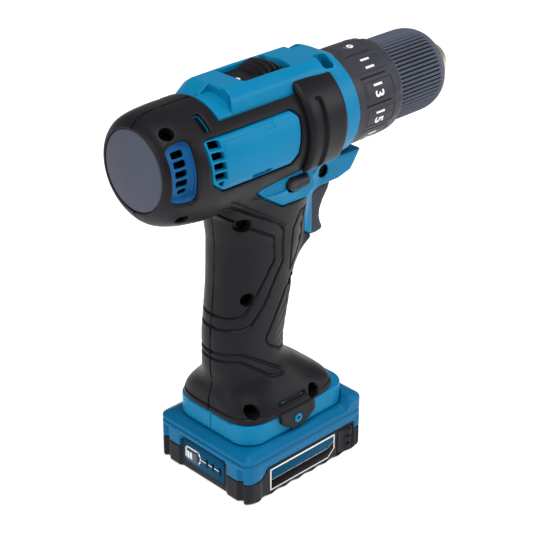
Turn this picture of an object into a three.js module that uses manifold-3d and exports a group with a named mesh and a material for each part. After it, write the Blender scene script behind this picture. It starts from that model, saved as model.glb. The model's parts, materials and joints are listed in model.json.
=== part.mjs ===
// A compact 12 V cordless drill driver, built from its separate pieces.
// Millimetres, +X towards the chuck, +Y to the drill's left, +Z up.
// The origin is the centre of the battery pack's flat underside.
import * as THREE from "three";
import { mergeVertices } from "three/addons/utils/BufferGeometryUtils.js";
import Module from "manifold-3d";

const wasm = await Module();
wasm.setup();

// ---------- driving dimensions ----------
const GAP = 0.3; // clearance between pieces that touch
const AXIS_Z = 176.3; // height of the drive line
const REAR_X = -75; // flat rear end of the motor housing
const RING_X = 39.5; // front edge of the housing, behind the clutch collar
const SKIN = 1.8; // thickness of the soft overmould
const WALL = 2.2; // thickness of the hard shell under it

const COLLAR = { x0: 39.9, x1: 70.6, r: 23.4, bore: 20.6 };
const SLEEVE = { x0: 71.2, x1: 108.2, r: 20.6, bore: 19 };
const CHUCK = { bodyR: 16.2, bore: 5.4, noseX: 119, noseR: 8.4, shoulderX: 105, shoulderR: 12.7 };
const JAW = { tilt: 15, r: 3.1, meetX: 133.4, frontX: 122, length: 26.6, play: 0.45 };
const NUT = { x0: 96.6, x1: 102.8, bore: 12.2 }; // the groove of the jaw nut in the chuck body

const BATTERY = { length: 79, width: 64, corner: 5, wall: 1.8 };
const PACK_Z = { seam: 16, shoulder: 25.6, top: 27, front: 31 }; // heights of the pack's edges
const NECK = { length: 68.4, width: 53.6, corner: 11, z0: 27.4, z1: 38 }; // the drill's foot, over the pack
const CHANNEL = { rearX: -32.5, half: 18.8, lipHalf: 14.8, lipZ: 30.8, roofZ: 35.4 }; // for the pack's rails
const RAIL = { x0: -26, x1: 36, half: 18.2, stemHalf: 14.2, z0: 31.3, z1: 34.8 };
const CELL = { r: 9, length: 65, pitch: 18.2, x: -3.9, z: 12.2 };

const GEAR = { module: 0.95, sun: 9, planet: 12, ring: 33, width: 8 };
const STAGE_X = [-3, 13]; // rear face of each ring gear
const MOTOR = { r: 17.8, x0: -62, x1: -12, wall: 1.3 };
const SCREW = { headR: 2.9, headH: 2, shankR: 1.3, length: 13 };
const CAP_R = 18.6; // the disc that closes the rear end
const SELECTOR = { x0: -19, x1: 9.5, half: 9.8, deck: 21.6 }; // bay of the speed selector
const TRIGGER = { half: 7.4, slotHalf: 7.9, z0: 112.6, z1: 139.2 };

// Barrel stations: x, half width, height above the axis, depth below it.
const BARREL = [
  [-75, 19.3, 19.3, 19.3],
  [-73.4, 22.6, 22.6, 23.4],
  [-69.5, 24.6, 24.4, 26.6],
  [-58, 26.2, 24.9, 30],
  [-40, 27, 25, 32.5],
  [0, 27, 25, 30],
  [24, 26.6, 25, 27.2],
  [39.5, 24.9, 24.9, 24.9],
];
// Handle stations, foot first: z, centre x, half length, half width, squareness.
const HANDLE = [
  [37.8, -2.4, 32.6, 27.6, 4],
  [43, -2.6, 32.2, 26.8, 3.8],
  [48.5, -6.4, 28, 22.6, 3],
  [54, -7.4, 24.2, 18.6, 2.5],
  [61, -13, 20.5, 15.9, 2.3],
  [78, -11.6, 21.6, 16, 2.3],
  [104, -7.4, 23, 16.2, 2.3],
  [126, -4.4, 25, 17.2, 2.3],
  [140, -5.5, 31, 20, 2.3],
  [152, -7, 38, 22.5, 2.3],
];
// Top cover stations: x, half width of its flat top, height of the top above the axis.
const COVER = [
  [-39, 3, 24.3],
  [-29.5, 9, 27.8],
  [-10, 9, 28.2],
  [32, 9, 28],
  [38, 6, 26.2],
];
const COVER_HALF = 17.2; // half width of the top cover at its lower edge
const COVER_X = [-41, 38.6];
// Screws that close the housing, driven from the right: x, z, depth of the head from the mid-plane.
const HOUSING_SCREWS = [
  [-67.5, 195, 10],
  [-63, 155.6, 11.5],
  [-24, 138, 10],
  [-21.4, 99, 9],
  [-27, 44, 11],
  [9.5, 42.2, 11],
  [29.4, 147.4, 9],
  [7, 100, 10],
];

// ---------- colours ----------
const paint = (colour, roughness, metalness = 0) =>
  new THREE.MeshStandardMaterial({ color: colour, roughness, metalness });
const BLUE = paint(0x1583bd, 0.4);
const CHARCOAL = paint(0x35302f, 0.75);
const GREY = paint(0x3b3f49, 0.6);
const BLACK = paint(0x141416, 0.6);
const STEEL = paint(0x9a9a98, 0.35, 1);
const CHAMPAGNE = paint(0xb8ab8c, 0.35, 1);
const CAST = paint(0x6f7275, 0.5, 1);
const COPPER = paint(0xb06a3a, 0.4, 1);
const BRASS = paint(0xc2a14a, 0.4, 1);
const GREEN = paint(0x1f5a3a, 0.6);
const CLEAR = paint(0xdfe6ea, 0.15);
const WRAP = paint(0x2a6fb0, 0.5);

// ---------- shape helpers ----------
const rad = THREE.MathUtils.degToRad;

function solid(geometry) {
  const bare = geometry.index ? geometry.toNonIndexed() : geometry.clone();
  bare.deleteAttribute("normal");
  bare.deleteAttribute("uv");
  const merged = mergeVertices(bare, 1e-4);
  const made = new wasm.Manifold(
    new wasm.Mesh({
      numProp: 3,
      vertProperties: merged.attributes.position.array,
      triVerts: new Uint32Array(merged.index.array),
    }),
  );
  return made;
}

function geometryOf(shape) {
  const mesh = shape.getMesh();
  const geometry = new THREE.BufferGeometry();
  geometry.setAttribute("position", new THREE.BufferAttribute(new Float32Array(mesh.vertProperties), 3));
  geometry.setIndex(new THREE.BufferAttribute(new Uint32Array(mesh.triVerts), 1));
  geometry.computeVertexNormals();
  return geometry;
}

function join(...shapes) {
  return shapes.reduce((a, b) => a.add(b));
}

function cut(shape, ...tools) {
  return tools.reduce((a, b) => a.subtract(b), shape);
}

function block(x0, x1, y0, y1, z0, z1) {
  const geometry = new THREE.BoxGeometry(x1 - x0, y1 - y0, z1 - z0);
  return solid(geometry.translate((x0 + x1) / 2, (y0 + y1) / 2, (z0 + z1) / 2));
}

// A body of revolution about the drive line, from [x, radius] points starting and ending on the axis.
function turned(profile, segments = 32) {
  const points = profile.map(([x, r]) => new THREE.Vector2(r, x));
  const geometry = new THREE.LatheGeometry(points, segments);
  return upright(geometry.rotateZ(-Math.PI / 2).translate(0, 0, AXIS_Z));
}

// Turns a closed geometry the right way out and makes it a solid.
function upright(geometry) {
  const made = solid(geometry);
  if (made.volume() > 0) return made;
  const flipped = geometry.toNonIndexed();
  const p = flipped.attributes.position;
  for (let i = 0; i < p.count; i += 3) {
    const [x, y, z] = [p.getX(i), p.getY(i), p.getZ(i)];
    p.setXYZ(i, p.getX(i + 1), p.getY(i + 1), p.getZ(i + 1));
    p.setXYZ(i + 1, x, y, z);
  }
  return solid(flipped);
}

// A shape turned about the drive line.
function turnedBy(shape, degrees) {
  return shape.translate([0, 0, -AXIS_Z]).rotate([degrees, 0, 0]).translate([0, 0, AXIS_Z]);
}

// A round bar and a round tube on the drive line.
function rod(x0, x1, r, segments = 24) {
  return turned([[x0, 0], [x0, r], [x1, r], [x1, 0]], segments);
}

function tube(x0, x1, r, bore, segments = 32) {
  return cut(rod(x0, x1, r, segments), rod(x0 - 1, x1 + 1, bore, segments));
}

// A cylinder along Y at (x, z), from y0 to y1.
function pinY(x, z, r, y0, y1, segments = 12) {
  return solid(new THREE.CylinderGeometry(r, r, y1 - y0, segments).translate(x, (y0 + y1) / 2, z));
}

function outline(points) {
  return new THREE.Shape(points.map(([a, b]) => new THREE.Vector2(a, b)));
}

// An outline in X and Z, carried from y0 to y1.
function plateXZ(points, y0, y1) {
  const geometry = new THREE.ExtrudeGeometry(outline(points), { depth: y1 - y0, bevelEnabled: false });
  return upright(geometry.rotateX(Math.PI / 2).translate(0, y1, 0));
}

// An outline in Y and Z, carried from x0 to x1.
function plateYZ(points, x0, x1) {
  const geometry = new THREE.ExtrudeGeometry(outline(points), { depth: x1 - x0, bevelEnabled: false });
  return upright(geometry.rotateX(Math.PI / 2).rotateZ(Math.PI / 2).translate(x0, 0, 0));
}

// A rounded rectangle in X and Y, centred on (cx, 0), from z0 to z1.
function slab(cx, length, width, corner, z0, z1) {
  const shape = new THREE.Shape();
  const [a, b, r] = [length / 2, width / 2, corner];
  shape.absarc(a - r, b - r, r, 0, Math.PI / 2);
  shape.absarc(-a + r, b - r, r, Math.PI / 2, Math.PI);
  shape.absarc(-a + r, -b + r, r, Math.PI, 1.5 * Math.PI);
  shape.absarc(a - r, -b + r, r, 1.5 * Math.PI, 2 * Math.PI);
  const geometry = new THREE.ExtrudeGeometry(shape, { depth: z1 - z0, bevelEnabled: false, curveSegments: 4 });
  return solid(geometry.translate(cx, 0, z0));
}

// Joins rings of equal point counts into one closed skin.
function loft(rings) {
  const count = rings[0].length;
  const positions = rings.flat().flatMap((p) => [p.x, p.y, p.z]);
  const index = [];
  for (let i = 0; i + 1 < rings.length; i++) {
    for (let j = 0; j < count; j++) {
      const a = i * count + j;
      const b = i * count + ((j + 1) % count);
      index.push(a, b, a + count, b, b + count, a + count);
    }
  }
  const last = (rings.length - 1) * count;
  for (let j = 1; j + 1 < count; j++) {
    index.push(0, j + 1, j);
    index.push(last, last + j, last + j + 1);
  }
  const geometry = new THREE.BufferGeometry();
  geometry.setAttribute("position", new THREE.Float32BufferAttribute(positions, 3));
  geometry.setIndex(index);
  return upright(geometry);
}

function superPoint(angle, power) {
  const [c, s] = [Math.cos(angle), Math.sin(angle)];
  const bend = (v) => Math.sign(v) * Math.abs(v) ** (2 / power);
  return [bend(c), bend(s)];
}

function ringPoints(count, make) {
  return Array.from({ length: count }, (_, j) => make(((j + 0.5) / count) * 2 * Math.PI));
}

// The barrel with its surface moved inwards by inset.
function barrel(inset, segments = 16) {
  return loft(
    BARREL.map(([x, half, above, below]) =>
      ringPoints(segments, (angle) => {
        const [c, s] = superPoint(angle, 2.05);
        const height = s > 0 ? above : below;
        return new THREE.Vector3(x, (half - inset) * c, AXIS_Z + (height - inset) * s);
      }),
    ),
  );
}

function handle(inset, segments = 14) {
  return loft(
    HANDLE.map(([z, cx, a, b, power]) =>
      ringPoints(segments, (angle) => {
        const [c, s] = superPoint(angle, power);
        return new THREE.Vector3(cx + (a - inset) * c, (b - inset) * s, z);
      }),
    ),
  );
}

// The block round the trigger and the chin under the clutch collar.
function hood(inset) {
  const guardHalf = 9.8 - inset;
  const chinHalf = 11.4 - inset;
  const guardOutline = [
    [0, 104 + inset],
    [13, 104 + inset],
    [25 - inset, 110 + inset],
    [25 - inset, 150],
    [0, 150],
  ];
  const chinOutline = [
    [10, 139.5 + inset],
    [47, 139.5 + inset],
    [52 - inset, 144.5],
    [56 - inset, 151.8 - inset],
    [RING_X - 0.5, 151.8 - inset],
    [34, 156],
    [10, 156],
  ];
  return join(plateXZ(guardOutline, -guardHalf, guardHalf), plateXZ(chinOutline, -chinHalf, chinHalf));
}

function body(inset) {
  return join(barrel(inset), handle(inset), hood(inset));
}

// ---------- housing ----------
const outer = body(0);
const core = body(SKIN + GAP);
const hollow = body(SKIN + GAP + WALL);

// The soft overmould covers this side outline, less the blue side panel.
const SOFT_OUTLINE = [
  [-80, 210],
  [2, 210],
  [4, 166],
  [4, 160],
  [-21, 154.5],
  [-5, 144],
  [14, 142],
  [18, 137],
  [19, 112],
  [14, 100],
  [40, 60],
  [40, 37.8],
  [-80, 37.8],
];
const PANEL_OUTLINE = [
  [-53, 190.5],
  [-1, 190.5],
  [1, 187],
  [-2, 170],
  [-5, 165.5],
  [-47, 165.5],
  [-52, 170],
];

// An outline moved outwards by amount, or inwards if it is negative. Its corners stay sharp.
function grown(points, amount) {
  const corners = points.map(([x, z]) => new THREE.Vector2(x, z));
  const turn = THREE.ShapeUtils.isClockWise(corners) ? 1 : -1;
  return corners.map((corner, i) => {
    const before = corner.clone().sub(corners.at(i - 1)).normalize();
    const after = corners[(i + 1) % corners.length].clone().sub(corner).normalize();
    const normal = new THREE.Vector2(-(before.y + after.y), before.x + after.x).normalize();
    const stretch = amount / Math.max(0.3, Math.sqrt((1 + before.dot(after)) / 2));
    return [corner.x + turn * normal.x * stretch, corner.y + turn * normal.y * stretch];
  });
}

// The bay of the top cover, and the soft region, each moved outwards by gap.
function coverBay(gap) {
  const half = COVER_HALF + gap;
  return block(COVER_X[0] - gap, COVER_X[1] + gap, -half, half, 190, 215);
}

function softRegion(gap) {
  const all = plateXZ(grown(SOFT_OUTLINE, gap), -40, 40);
  return cut(all, plateXZ(grown(PANEL_OUTLINE, -gap), -40, 40));
}

const deckZ = AXIS_Z + SELECTOR.deck;
const triggerSlot = block(8, 60, -TRIGGER.slotHalf, TRIGGER.slotHalf, TRIGGER.z0, TRIGGER.z1);
const selectorSlot = join(
  block(SELECTOR.x0, SELECTOR.x1, -SELECTOR.half, SELECTOR.half, deckZ, 215),
  block(SELECTOR.x0 - 9.4, SELECTOR.x1, -SELECTOR.half, SELECTOR.half, deckZ, deckZ + 3),
);
const switchHole = block(-3.4, 10.4, -30, 30, 150, 155.8);
const capSeat = rod(-80, -70, CAP_R + GAP, 28);
const gearSeat = rod(-13, 50, 21.4, 24);
const motorSeat = rod(-72.4, -10, MOTOR.r + 0.4);
const lensSeat = block(45, 60, -5.3, 5.3, 143.2, 150.4);

const neck = slab(0, NECK.length, NECK.width, NECK.corner, NECK.z0, NECK.z1);
const railChannel = join(
  block(CHANNEL.rearX, 60, -CHANNEL.half, CHANNEL.half, CHANNEL.lipZ, CHANNEL.roofZ),
  block(CHANNEL.rearX, 60, -CHANNEL.lipHalf, CHANNEL.lipHalf, 20, CHANNEL.lipZ + 1),
);

const screwWells = HOUSING_SCREWS.map(([x, z, depth]) => {
  return pinY(x, z, SCREW.headR + 0.7, -40, -depth + SCREW.headH + 0.2, 8);
});
const screwHoles = HOUSING_SCREWS.map(([x, z, depth]) => {
  return pinY(x, z, SCREW.shankR + 0.4, -depth, -depth + SCREW.length + 3, 6);
});
const bosses = HOUSING_SCREWS.map(([x, z, depth]) => {
  return pinY(x, z, SCREW.headR + 1.8, -depth - 1, depth + 3, 6);
});

const insideOnly = hollow.intersect(block(REAR_X + 2.6, 60, -40, 40, 40.6, 230));
const cavity = cut(insideOnly, join(...bosses).intersect(outer));
const blueOuter = cut(outer, softRegion(GAP), coverBay(GAP));
const openings = [railChannel, triggerSlot, selectorSlot, switchHole, lensSeat, ...screwWells, ...screwHoles];
const seats = [capSeat, gearSeat, motorSeat];
const shell = cut(join(blueOuter, core, neck), cavity, ...openings, ...seats);

const rightSide = block(-200, 200, -100, -GAP / 2, 0, 400);
const leftSide = block(-200, 200, GAP / 2, 100, 0, 400);

// The biggest body of a shape, without any slivers that a cut leaves behind.
function largest(shape) {
  return shape.decompose().sort((a, b) => b.volume() - a.volume())[0];
}
const housingRight = largest(shell.intersect(rightSide));
const housingLeft = largest(shell.intersect(leftSide));

// ---------- overmould, cap, cover and bumpers ----------
const skinLayer = cut(outer, body(SKIN)).intersect(softRegion(0));
const underFoot = block(-80, 80, -40, 40, 0, NECK.z1 + GAP);
const skinOpenings = [coverBay(GAP), triggerSlot, switchHole, ...screwWells, ...screwHoles];
const skin = cut(skinLayer, underFoot, rod(-80, -70, CAP_R + GAP, 28), ...skinOpenings);
const overmouldRight = largest(skin.intersect(rightSide));
const overmouldLeft = largest(skin.intersect(leftSide));

const rearCap = cut(
  turned([[-75.8, 0], [-75.8, CAP_R - 1.6], [-75, CAP_R], [-72.8, CAP_R], [-72.8, 0]], 28),
  rod(-73.9, -70, CAP_R - 3.6, 16),
);

function coverLoft() {
  return loft(
    COVER.map(([x, flat, top]) =>
      [
        [COVER_HALF, 8],
        [COVER_HALF, top - 10.5],
        [(COVER_HALF + flat) / 2 + 1.6, top - 3.6],
        [flat, top],
        [-flat, top],
        [-(COVER_HALF + flat) / 2 - 1.6, top - 3.6],
        [-COVER_HALF, top - 10.5],
        [-COVER_HALF, 8],
      ].map(([y, z]) => new THREE.Vector3(x, y, AXIS_Z + z)),
    ),
  );
}
const topCover = largest(cut(coverLoft(), body(SKIN), selectorSlot));

const bumperOutline = [
  [-13.5, AXIS_Z + 40],
  [-45, AXIS_Z + 40],
  [-45, AXIS_Z - 18.5],
  [-15, AXIS_Z - 18.5],
  [-10, AXIS_Z - 8],
  [-10, AXIS_Z + 12],
];
const bumperBand = cut(barrel(-3.4, 24), barrel(-GAP), coverBay(GAP));
const bumperRight = largest(bumperBand.intersect(plateYZ(bumperOutline, 3.5, 28)));
const bumperLeft = bumperRight.mirror([0, 1, 0]);

// ---------- screws ----------
function housingScrew([x, z, depth]) {
  const head = pinY(x, z, SCREW.headR, -depth, -depth + SCREW.headH, 10);
  const shank = pinY(x, z, SCREW.shankR, -depth + SCREW.headH - 0.5, -depth + SCREW.length, 6);
  const drive = pinY(x, z, 1.2, -depth - 1, -depth + 1.2, 6);
  return cut(join(head, shank), drive);
}

// ---------- motor ----------
const motorCan = cut(
  rod(MOTOR.x0, MOTOR.x1, MOTOR.r, 24),
  rod(MOTOR.x0 - 1, MOTOR.x1 - 1.4, MOTOR.r - MOTOR.wall, 24),
  rod(MOTOR.x1 - 3, MOTOR.x1 + 1, 4.2, 16),
);
const motorEndBell = cut(
  join(rod(MOTOR.x0 - 3, MOTOR.x0 - GAP, MOTOR.r, 24), rod(MOTOR.x0 - 6, MOTOR.x0 - 2, 5, 16)),
  rod(MOTOR.x0 - 10, MOTOR.x0 + 1, 2.1, 12),
);
const fieldMagnet = tube(-52, -22, MOTOR.r - MOTOR.wall - GAP - 0.2, 13, 24);
const armature = cut(join(rod(-50, -23, 12.4, 24), rod(-59.5, -49, 4.2, 16)), rod(-61, -20, 1.9, 12));
const FAN_SLOTS = 6;
const fanSlot = block(-19, -12, -1.6, 1.6, AXIS_Z + 5.5, AXIS_Z + 20);
const coolingFan = cut(
  tube(-20.6, -15.4, 15.6, 1.9, 24),
  ...Array.from({ length: FAN_SLOTS }, (_, k) => turnedBy(fanSlot, (k * 360) / FAN_SLOTS)),
);

// ---------- planetary gears ----------
// Straight-sided teeth, a little slim so that the train runs with backlash.
function toothRing(teeth, pitchR, tipR, rootR, tipShare, rootShare) {
  const pitch = (2 * Math.PI) / teeth;
  const points = [];
  for (let k = 0; k < teeth; k++) {
    const tooth = [[rootR, -rootShare], [tipR, -tipShare], [tipR, tipShare], [rootR, rootShare]];
    for (const [r, share] of tooth) {
      const angle = k * pitch + share * pitch;
      points.push([r * Math.cos(angle), r * Math.sin(angle)]);
    }
  }
  return points;
}

// A gear about the drive line, with a tooth at the top or turned by phase degrees.
function gearPlate(points, x0, x1, phase) {
  const about = points.map(([a, b]) => [b, a]);
  return turnedBy(plateYZ(about, x0, x1).translate([0, 0, AXIS_Z]), phase);
}

function pitchR(teeth) {
  return (GEAR.module * teeth) / 2;
}
const CARRIER_R = pitchR(GEAR.sun) + pitchR(GEAR.planet);

function externalTeeth(teeth, x0, x1, phase) {
  const r = pitchR(teeth);
  return gearPlate(toothRing(teeth, r, r + 0.75, r - 1.1, 0.11, 0.27), x0, x1, phase);
}

function ringGear(x0) {
  const r = pitchR(GEAR.ring);
  const teeth = gearPlate(toothRing(GEAR.ring, r, r - 0.7, r + 1.15, 0.12, 0.26), x0 - 1, x0 + GEAR.width + 1, 0);
  return cut(rod(x0, x0 + GEAR.width, 18.6, 24), teeth);
}

function planet(x0, k) {
  const gear = cut(
    externalTeeth(GEAR.planet, x0, x0 + GEAR.width - 0.6, 180 / GEAR.planet),
    rod(x0 - 1, x0 + GEAR.width + 1, 1.75, 10),
  );
  return turnedBy(gear.translate([0, 0, CARRIER_R]), k * 120);
}

function carrierPins(x0, x1) {
  return [0, 1, 2].map((k) => turnedBy(rod(x0, x1, 1.5, 10).translate([0, 0, CARRIER_R]), k * 120));
}

const motorShaft = join(rod(-67.5, -4, 1.6, 12), externalTeeth(GEAR.sun, -4.5, 5, 0));
const firstCarrier = join(
  rod(6.2, 9.2, 13.6, 24),
  ...carrierPins(-2.6, 7),
  externalTeeth(GEAR.sun, 9, 21.4, 0),
);
const spindle = join(
  rod(22.4, 26, 13.6, 24),
  ...carrierPins(13.4, 23),
  rod(25, 66, 5.2, 20),
  rod(65, 86, 4.4, 20),
);

const gearCase = cut(
  turned([[-11, 0], [-11, 19.9], [37.6, 19.9], [37.6, 11.4], [60, 11.4], [60, 0]], 24),
  rod(-9, 29, 18.95, 24),
  rod(-12, -8, 4.6, 16),
  rod(28, 34, 14, 24),
  rod(33, 61, 5.6, 16),
  rod(52, 61, 8.3, 16),
);
const frontBearing = tube(52.6, 59.4, 8, 5.5, 16);

// ---------- clutch ----------
const clutchCollar = cut(
  turned(
    [
      [COLLAR.x0, 0],
      [COLLAR.x0, COLLAR.r - 0.2],
      [COLLAR.x0 + 0.5, COLLAR.r],
      [COLLAR.x1 - 1.8, COLLAR.r],
      [COLLAR.x1, COLLAR.r - 1.6],
      [COLLAR.x1, 0],
    ],
    28,
  ),
  rod(39, 67.4, COLLAR.bore, 28),
  rod(66, 72, 12.4, 20),
);
const clutchPlate = tube(56.8, 59.6, 19.9, 11.9, 24);

function coil(x0, x1, radius, wire, turns, stepsPerTurn, sides) {
  const rings = [];
  const steps = Math.round(turns * stepsPerTurn);
  for (let i = 0; i <= steps; i++) {
    const angle = (i / stepsPerTurn) * 2 * Math.PI;
    const x = x0 + wire + ((x1 - x0 - 2 * wire) * i) / steps;
    rings.push(
      ringPoints(sides, (turn) => {
        const r = radius + wire * Math.cos(turn);
        return new THREE.Vector3(x + wire * Math.sin(turn), r * Math.cos(angle), r * Math.sin(angle));
      }),
    );
  }
  return loft(rings);
}
const clutchSpring = coil(38.2, 56.4, 15.6, 1, 4, 12, 5).translate([0, 0, AXIS_Z]);

// ---------- chuck ----------
const chuckSleeve = cut(
  turned(
    [
      [SLEEVE.x0, 0],
      [SLEEVE.x0, SLEEVE.r - 0.4],
      [SLEEVE.x0 + 0.6, SLEEVE.r],
      [98, SLEEVE.r],
      [104, SLEEVE.r - 1],
      [107, SLEEVE.r - 3],
      [SLEEVE.x1, SLEEVE.r - 5.4],
      [SLEEVE.x1, 0],
    ],
    28,
  ),
  rod(70, 96.4, SLEEVE.bore, 24),
  rod(90, 106.4, CHUCK.bodyR + 0.6, 24),
  rod(105, 110, 13.1, 24),
);

// A round bar in the XZ plane, sloping back and outwards from the point where the jaws' centre lines meet.
// back and ahead are how far it reaches either way from that point.
function slantedRod(back, ahead, r, segments) {
  const bar = new THREE.CylinderGeometry(r, r, back + ahead, segments);
  bar.rotateZ(-Math.PI / 2).translate((ahead - back) / 2, 0, 0);
  bar.rotateY(rad(JAW.tilt)).translate(JAW.meetX, 0, AXIS_Z);
  return solid(bar);
}

// One of three jaws: the bar, cut to a third of a turn so that all three can close on the axis.
function jaw(k) {
  const back = 37;
  const clearance = 0.25;
  const rise = 30 * Math.tan(rad(30));
  const thirdOutline = [[0, clearance], [-30, clearance + rise], [-30, 30], [30, 30], [30, clearance + rise]];
  const third = plateYZ(thirdOutline, 60, 130);
  const keep = block(60, JAW.frontX, -20, 20, AXIS_Z + 0.35, 230);
  const bar = slantedRod(back, JAW.length - back, JAW.r, 10);
  return turnedBy(bar.intersect(keep).intersect(third.translate([0, 0, AXIS_Z])), k * 120);
}

const jawBores = [0, 1, 2].map((k) => turnedBy(slantedRod(63, 10, JAW.r + JAW.play, 10), k * 120));
const nutGroove = cut(rod(NUT.x0, NUT.x1, 30, 16), rod(NUT.x0 - 1, NUT.x1 + 1, NUT.bore, 20));
const chuckBody = cut(
  turned(
    [
      [74, 0],
      [74, 12],
      [80, 12],
      [80, CHUCK.bodyR],
      [CHUCK.shoulderX, CHUCK.bodyR],
      [CHUCK.shoulderX, CHUCK.shoulderR],
      [CHUCK.shoulderX + 4, CHUCK.shoulderR],
      [CHUCK.noseX, CHUCK.noseR],
      [CHUCK.noseX, 0],
    ],
    24,
  ),
  rod(73, 87, 4.8, 20),
  rod(86, CHUCK.noseX + 2, CHUCK.bore, 20),
  nutGroove,
  ...jawBores,
);
const jawNut = tube(NUT.x0 + 0.4, NUT.x1 - 0.4, CHUCK.bodyR - 0.3, NUT.bore + 1.4, 24);
const chuckScrew = cut(join(rod(87, 90, 3.6, 12), rod(86, 88, 2, 8)), rod(88.6, 91, 1.2, 6));

// ---------- controls ----------
const trigger = cut(
  plateXZ(
    [
      [11, 119],
      [25, 117],
      [25.4, 113.4],
      [30, 113.1],
      [33.6, 113.8],
      [34.8, 115.6],
      [33.4, 118],
      [32.5, 121.5],
      [32.6, 125],
      [34, 129.4],
      [36.4, 133.6],
      [36.8, 138.8],
      [25, 138.8],
      [11, 136],
    ],
    -TRIGGER.half,
    TRIGGER.half,
  ),
  block(9, 22, -4.6, 4.6, 123, 133),
);
const triggerSwitch = block(-17.4, 2.2, -8.2, 8.2, 116, 147.2);
const triggerSpring = coil(2.6, 21.6, 3.1, 0.5, 6, 8, 4).translate([0, 0, 128]);
const directionSwitch = block(-3, 10, -22.8, 22.8, 150.4, 155.4);
const slideHalf = SELECTOR.half - 0.5;
const speedSelector = join(
  block(SELECTOR.x0 - 0.2, SELECTOR.x1 - 0.5, -slideHalf, slideHalf, deckZ + 0.5, deckZ + 2.6),
  plateXZ([[-6, deckZ + 1.1], [-3.5, deckZ + 5.5], [6, deckZ + 5.5], [8.4, deckZ + 1.1]], -8.8, 8.8),
);
const ledLens = plateXZ([[46.4, 143.6], [51.8, 143.6], [55.2, 150], [46.4, 150]], -4.9, 4.9);

// ---------- battery ----------
const CONTACT_Y = 7.8; // half the distance between the two contact blades
const contactBlade = block(-28, -18, CONTACT_Y - 0.6, CONTACT_Y + 0.6, 31.6, 34.6);
const contactBlock = join(
  block(-31.8, -27, -12, 12, 31.2, 35),
  contactBlade,
  contactBlade.mirror([0, 1, 0]),
);

const PACK_X = BATTERY.length / 2;
const PACK_Y = BATTERY.width / 2;

// The pack's plan moved inwards by inset, from z0 to z1.
function packSlab(inset, z0, z1) {
  const corner = Math.max(BATTERY.corner - inset, 2);
  return slab(0, BATTERY.length - 2 * inset, BATTERY.width - 2 * inset, corner, z0, z1);
}

const rails = join(
  block(RAIL.x0, RAIL.x1, -RAIL.stemHalf, RAIL.stemHalf, PACK_Z.top - 1, RAIL.z1),
  block(RAIL.x0, RAIL.x1, -RAIL.half, RAIL.half, RAIL.z0, RAIL.z1),
);
const contactSlot = block(-28, -16, CONTACT_Y - 1.6, CONTACT_Y + 1.6, 31, 35.2);
const frontBlock = block(NECK.length / 2 + 0.6, PACK_X - 0.6, -PACK_Y + 3.5, PACK_Y - 3.5, 26, PACK_Z.front);
const caseTop = cut(
  join(
    packSlab(0, PACK_Z.seam + GAP, PACK_Z.shoulder),
    packSlab(1.5, PACK_Z.shoulder - 0.6, PACK_Z.top),
    frontBlock,
    rails,
  ),
  packSlab(BATTERY.wall, 10, PACK_Z.shoulder - 1.2),
  contactSlot,
  contactSlot.mirror([0, 1, 0]),
);

const LATCH = { x0: 22.4, x1: 32.4, z0: 2, z1: 14.4 }; // window for a release latch, on each side
const GAUGE = { y: 8, half: 3.6, z0: 7, z1: 12.6 }; // the charge gauge's button, on the rear face
const latchWindow = block(
  LATCH.x0 - 0.4,
  LATCH.x1 + 0.4,
  PACK_Y - 5,
  PACK_Y + 1,
  LATCH.z0 - 0.4,
  LATCH.z1 + 0.4,
);
const gaugeWindow = block(
  -PACK_X - 5,
  -PACK_X + 4,
  GAUGE.y - GAUGE.half - 0.5,
  GAUGE.y + GAUGE.half + 0.5,
  GAUGE.z0 - 0.5,
  GAUGE.z1 + 0.5,
);
const caseBottom = cut(
  packSlab(0, 0, PACK_Z.seam),
  packSlab(BATTERY.wall, 2, 30),
  latchWindow,
  latchWindow.mirror([0, 1, 0]),
  gaugeWindow,
);
const latchRidges = [4.4, 8.2, 12].map((z) => {
  return block(LATCH.x0 + 0.4, LATCH.x1 - 0.4, PACK_Y - 1, PACK_Y + 0.2, z - 0.8, z + 0.8);
});
const latchLeft = join(
  block(LATCH.x0, LATCH.x1, PACK_Y - 2.8, PACK_Y - 0.8, LATCH.z0, LATCH.z1),
  ...latchRidges,
);
const gaugeButton = block(
  -PACK_X,
  -PACK_X + 1.6,
  GAUGE.y - GAUGE.half,
  GAUGE.y + GAUGE.half,
  GAUGE.z0,
  GAUGE.z1,
);
const batteryBoard = block(-36, 34, -22, 22, 22.4, 24);

function batteryCell(k) {
  const cell = new THREE.CylinderGeometry(CELL.r, CELL.r, CELL.length, 16);
  return solid(cell.rotateZ(Math.PI / 2).translate(CELL.x, k * CELL.pitch, CELL.z));
}

// ---------- the assembly ----------
const drill = new THREE.Group();
function add(name, shape, material) {
  const mesh = new THREE.Mesh(geometryOf(shape), material);
  mesh.name = name;
  drill.add(mesh);
}

add("housing_right", housingRight, BLUE);
add("housing_left", housingLeft, BLUE);
add("overmould_right", overmouldRight, CHARCOAL);
add("overmould_left", overmouldLeft, CHARCOAL);
add("rear_cap", rearCap, GREY);
add("top_cover", topCover, BLUE);
add("side_bumper_right", bumperRight, CHARCOAL);
add("side_bumper_left", bumperLeft, CHARCOAL);
HOUSING_SCREWS.forEach((place, i) => add(`housing_screw_${i + 1}`, housingScrew(place), BLACK));

add("motor_can", motorCan, STEEL);
add("motor_end_bell", motorEndBell, BLACK);
add("field_magnet", fieldMagnet, BLACK);
add("armature", armature, COPPER);
add("cooling_fan", coolingFan, BLACK);
add("motor_shaft", motorShaft, STEEL);

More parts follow.
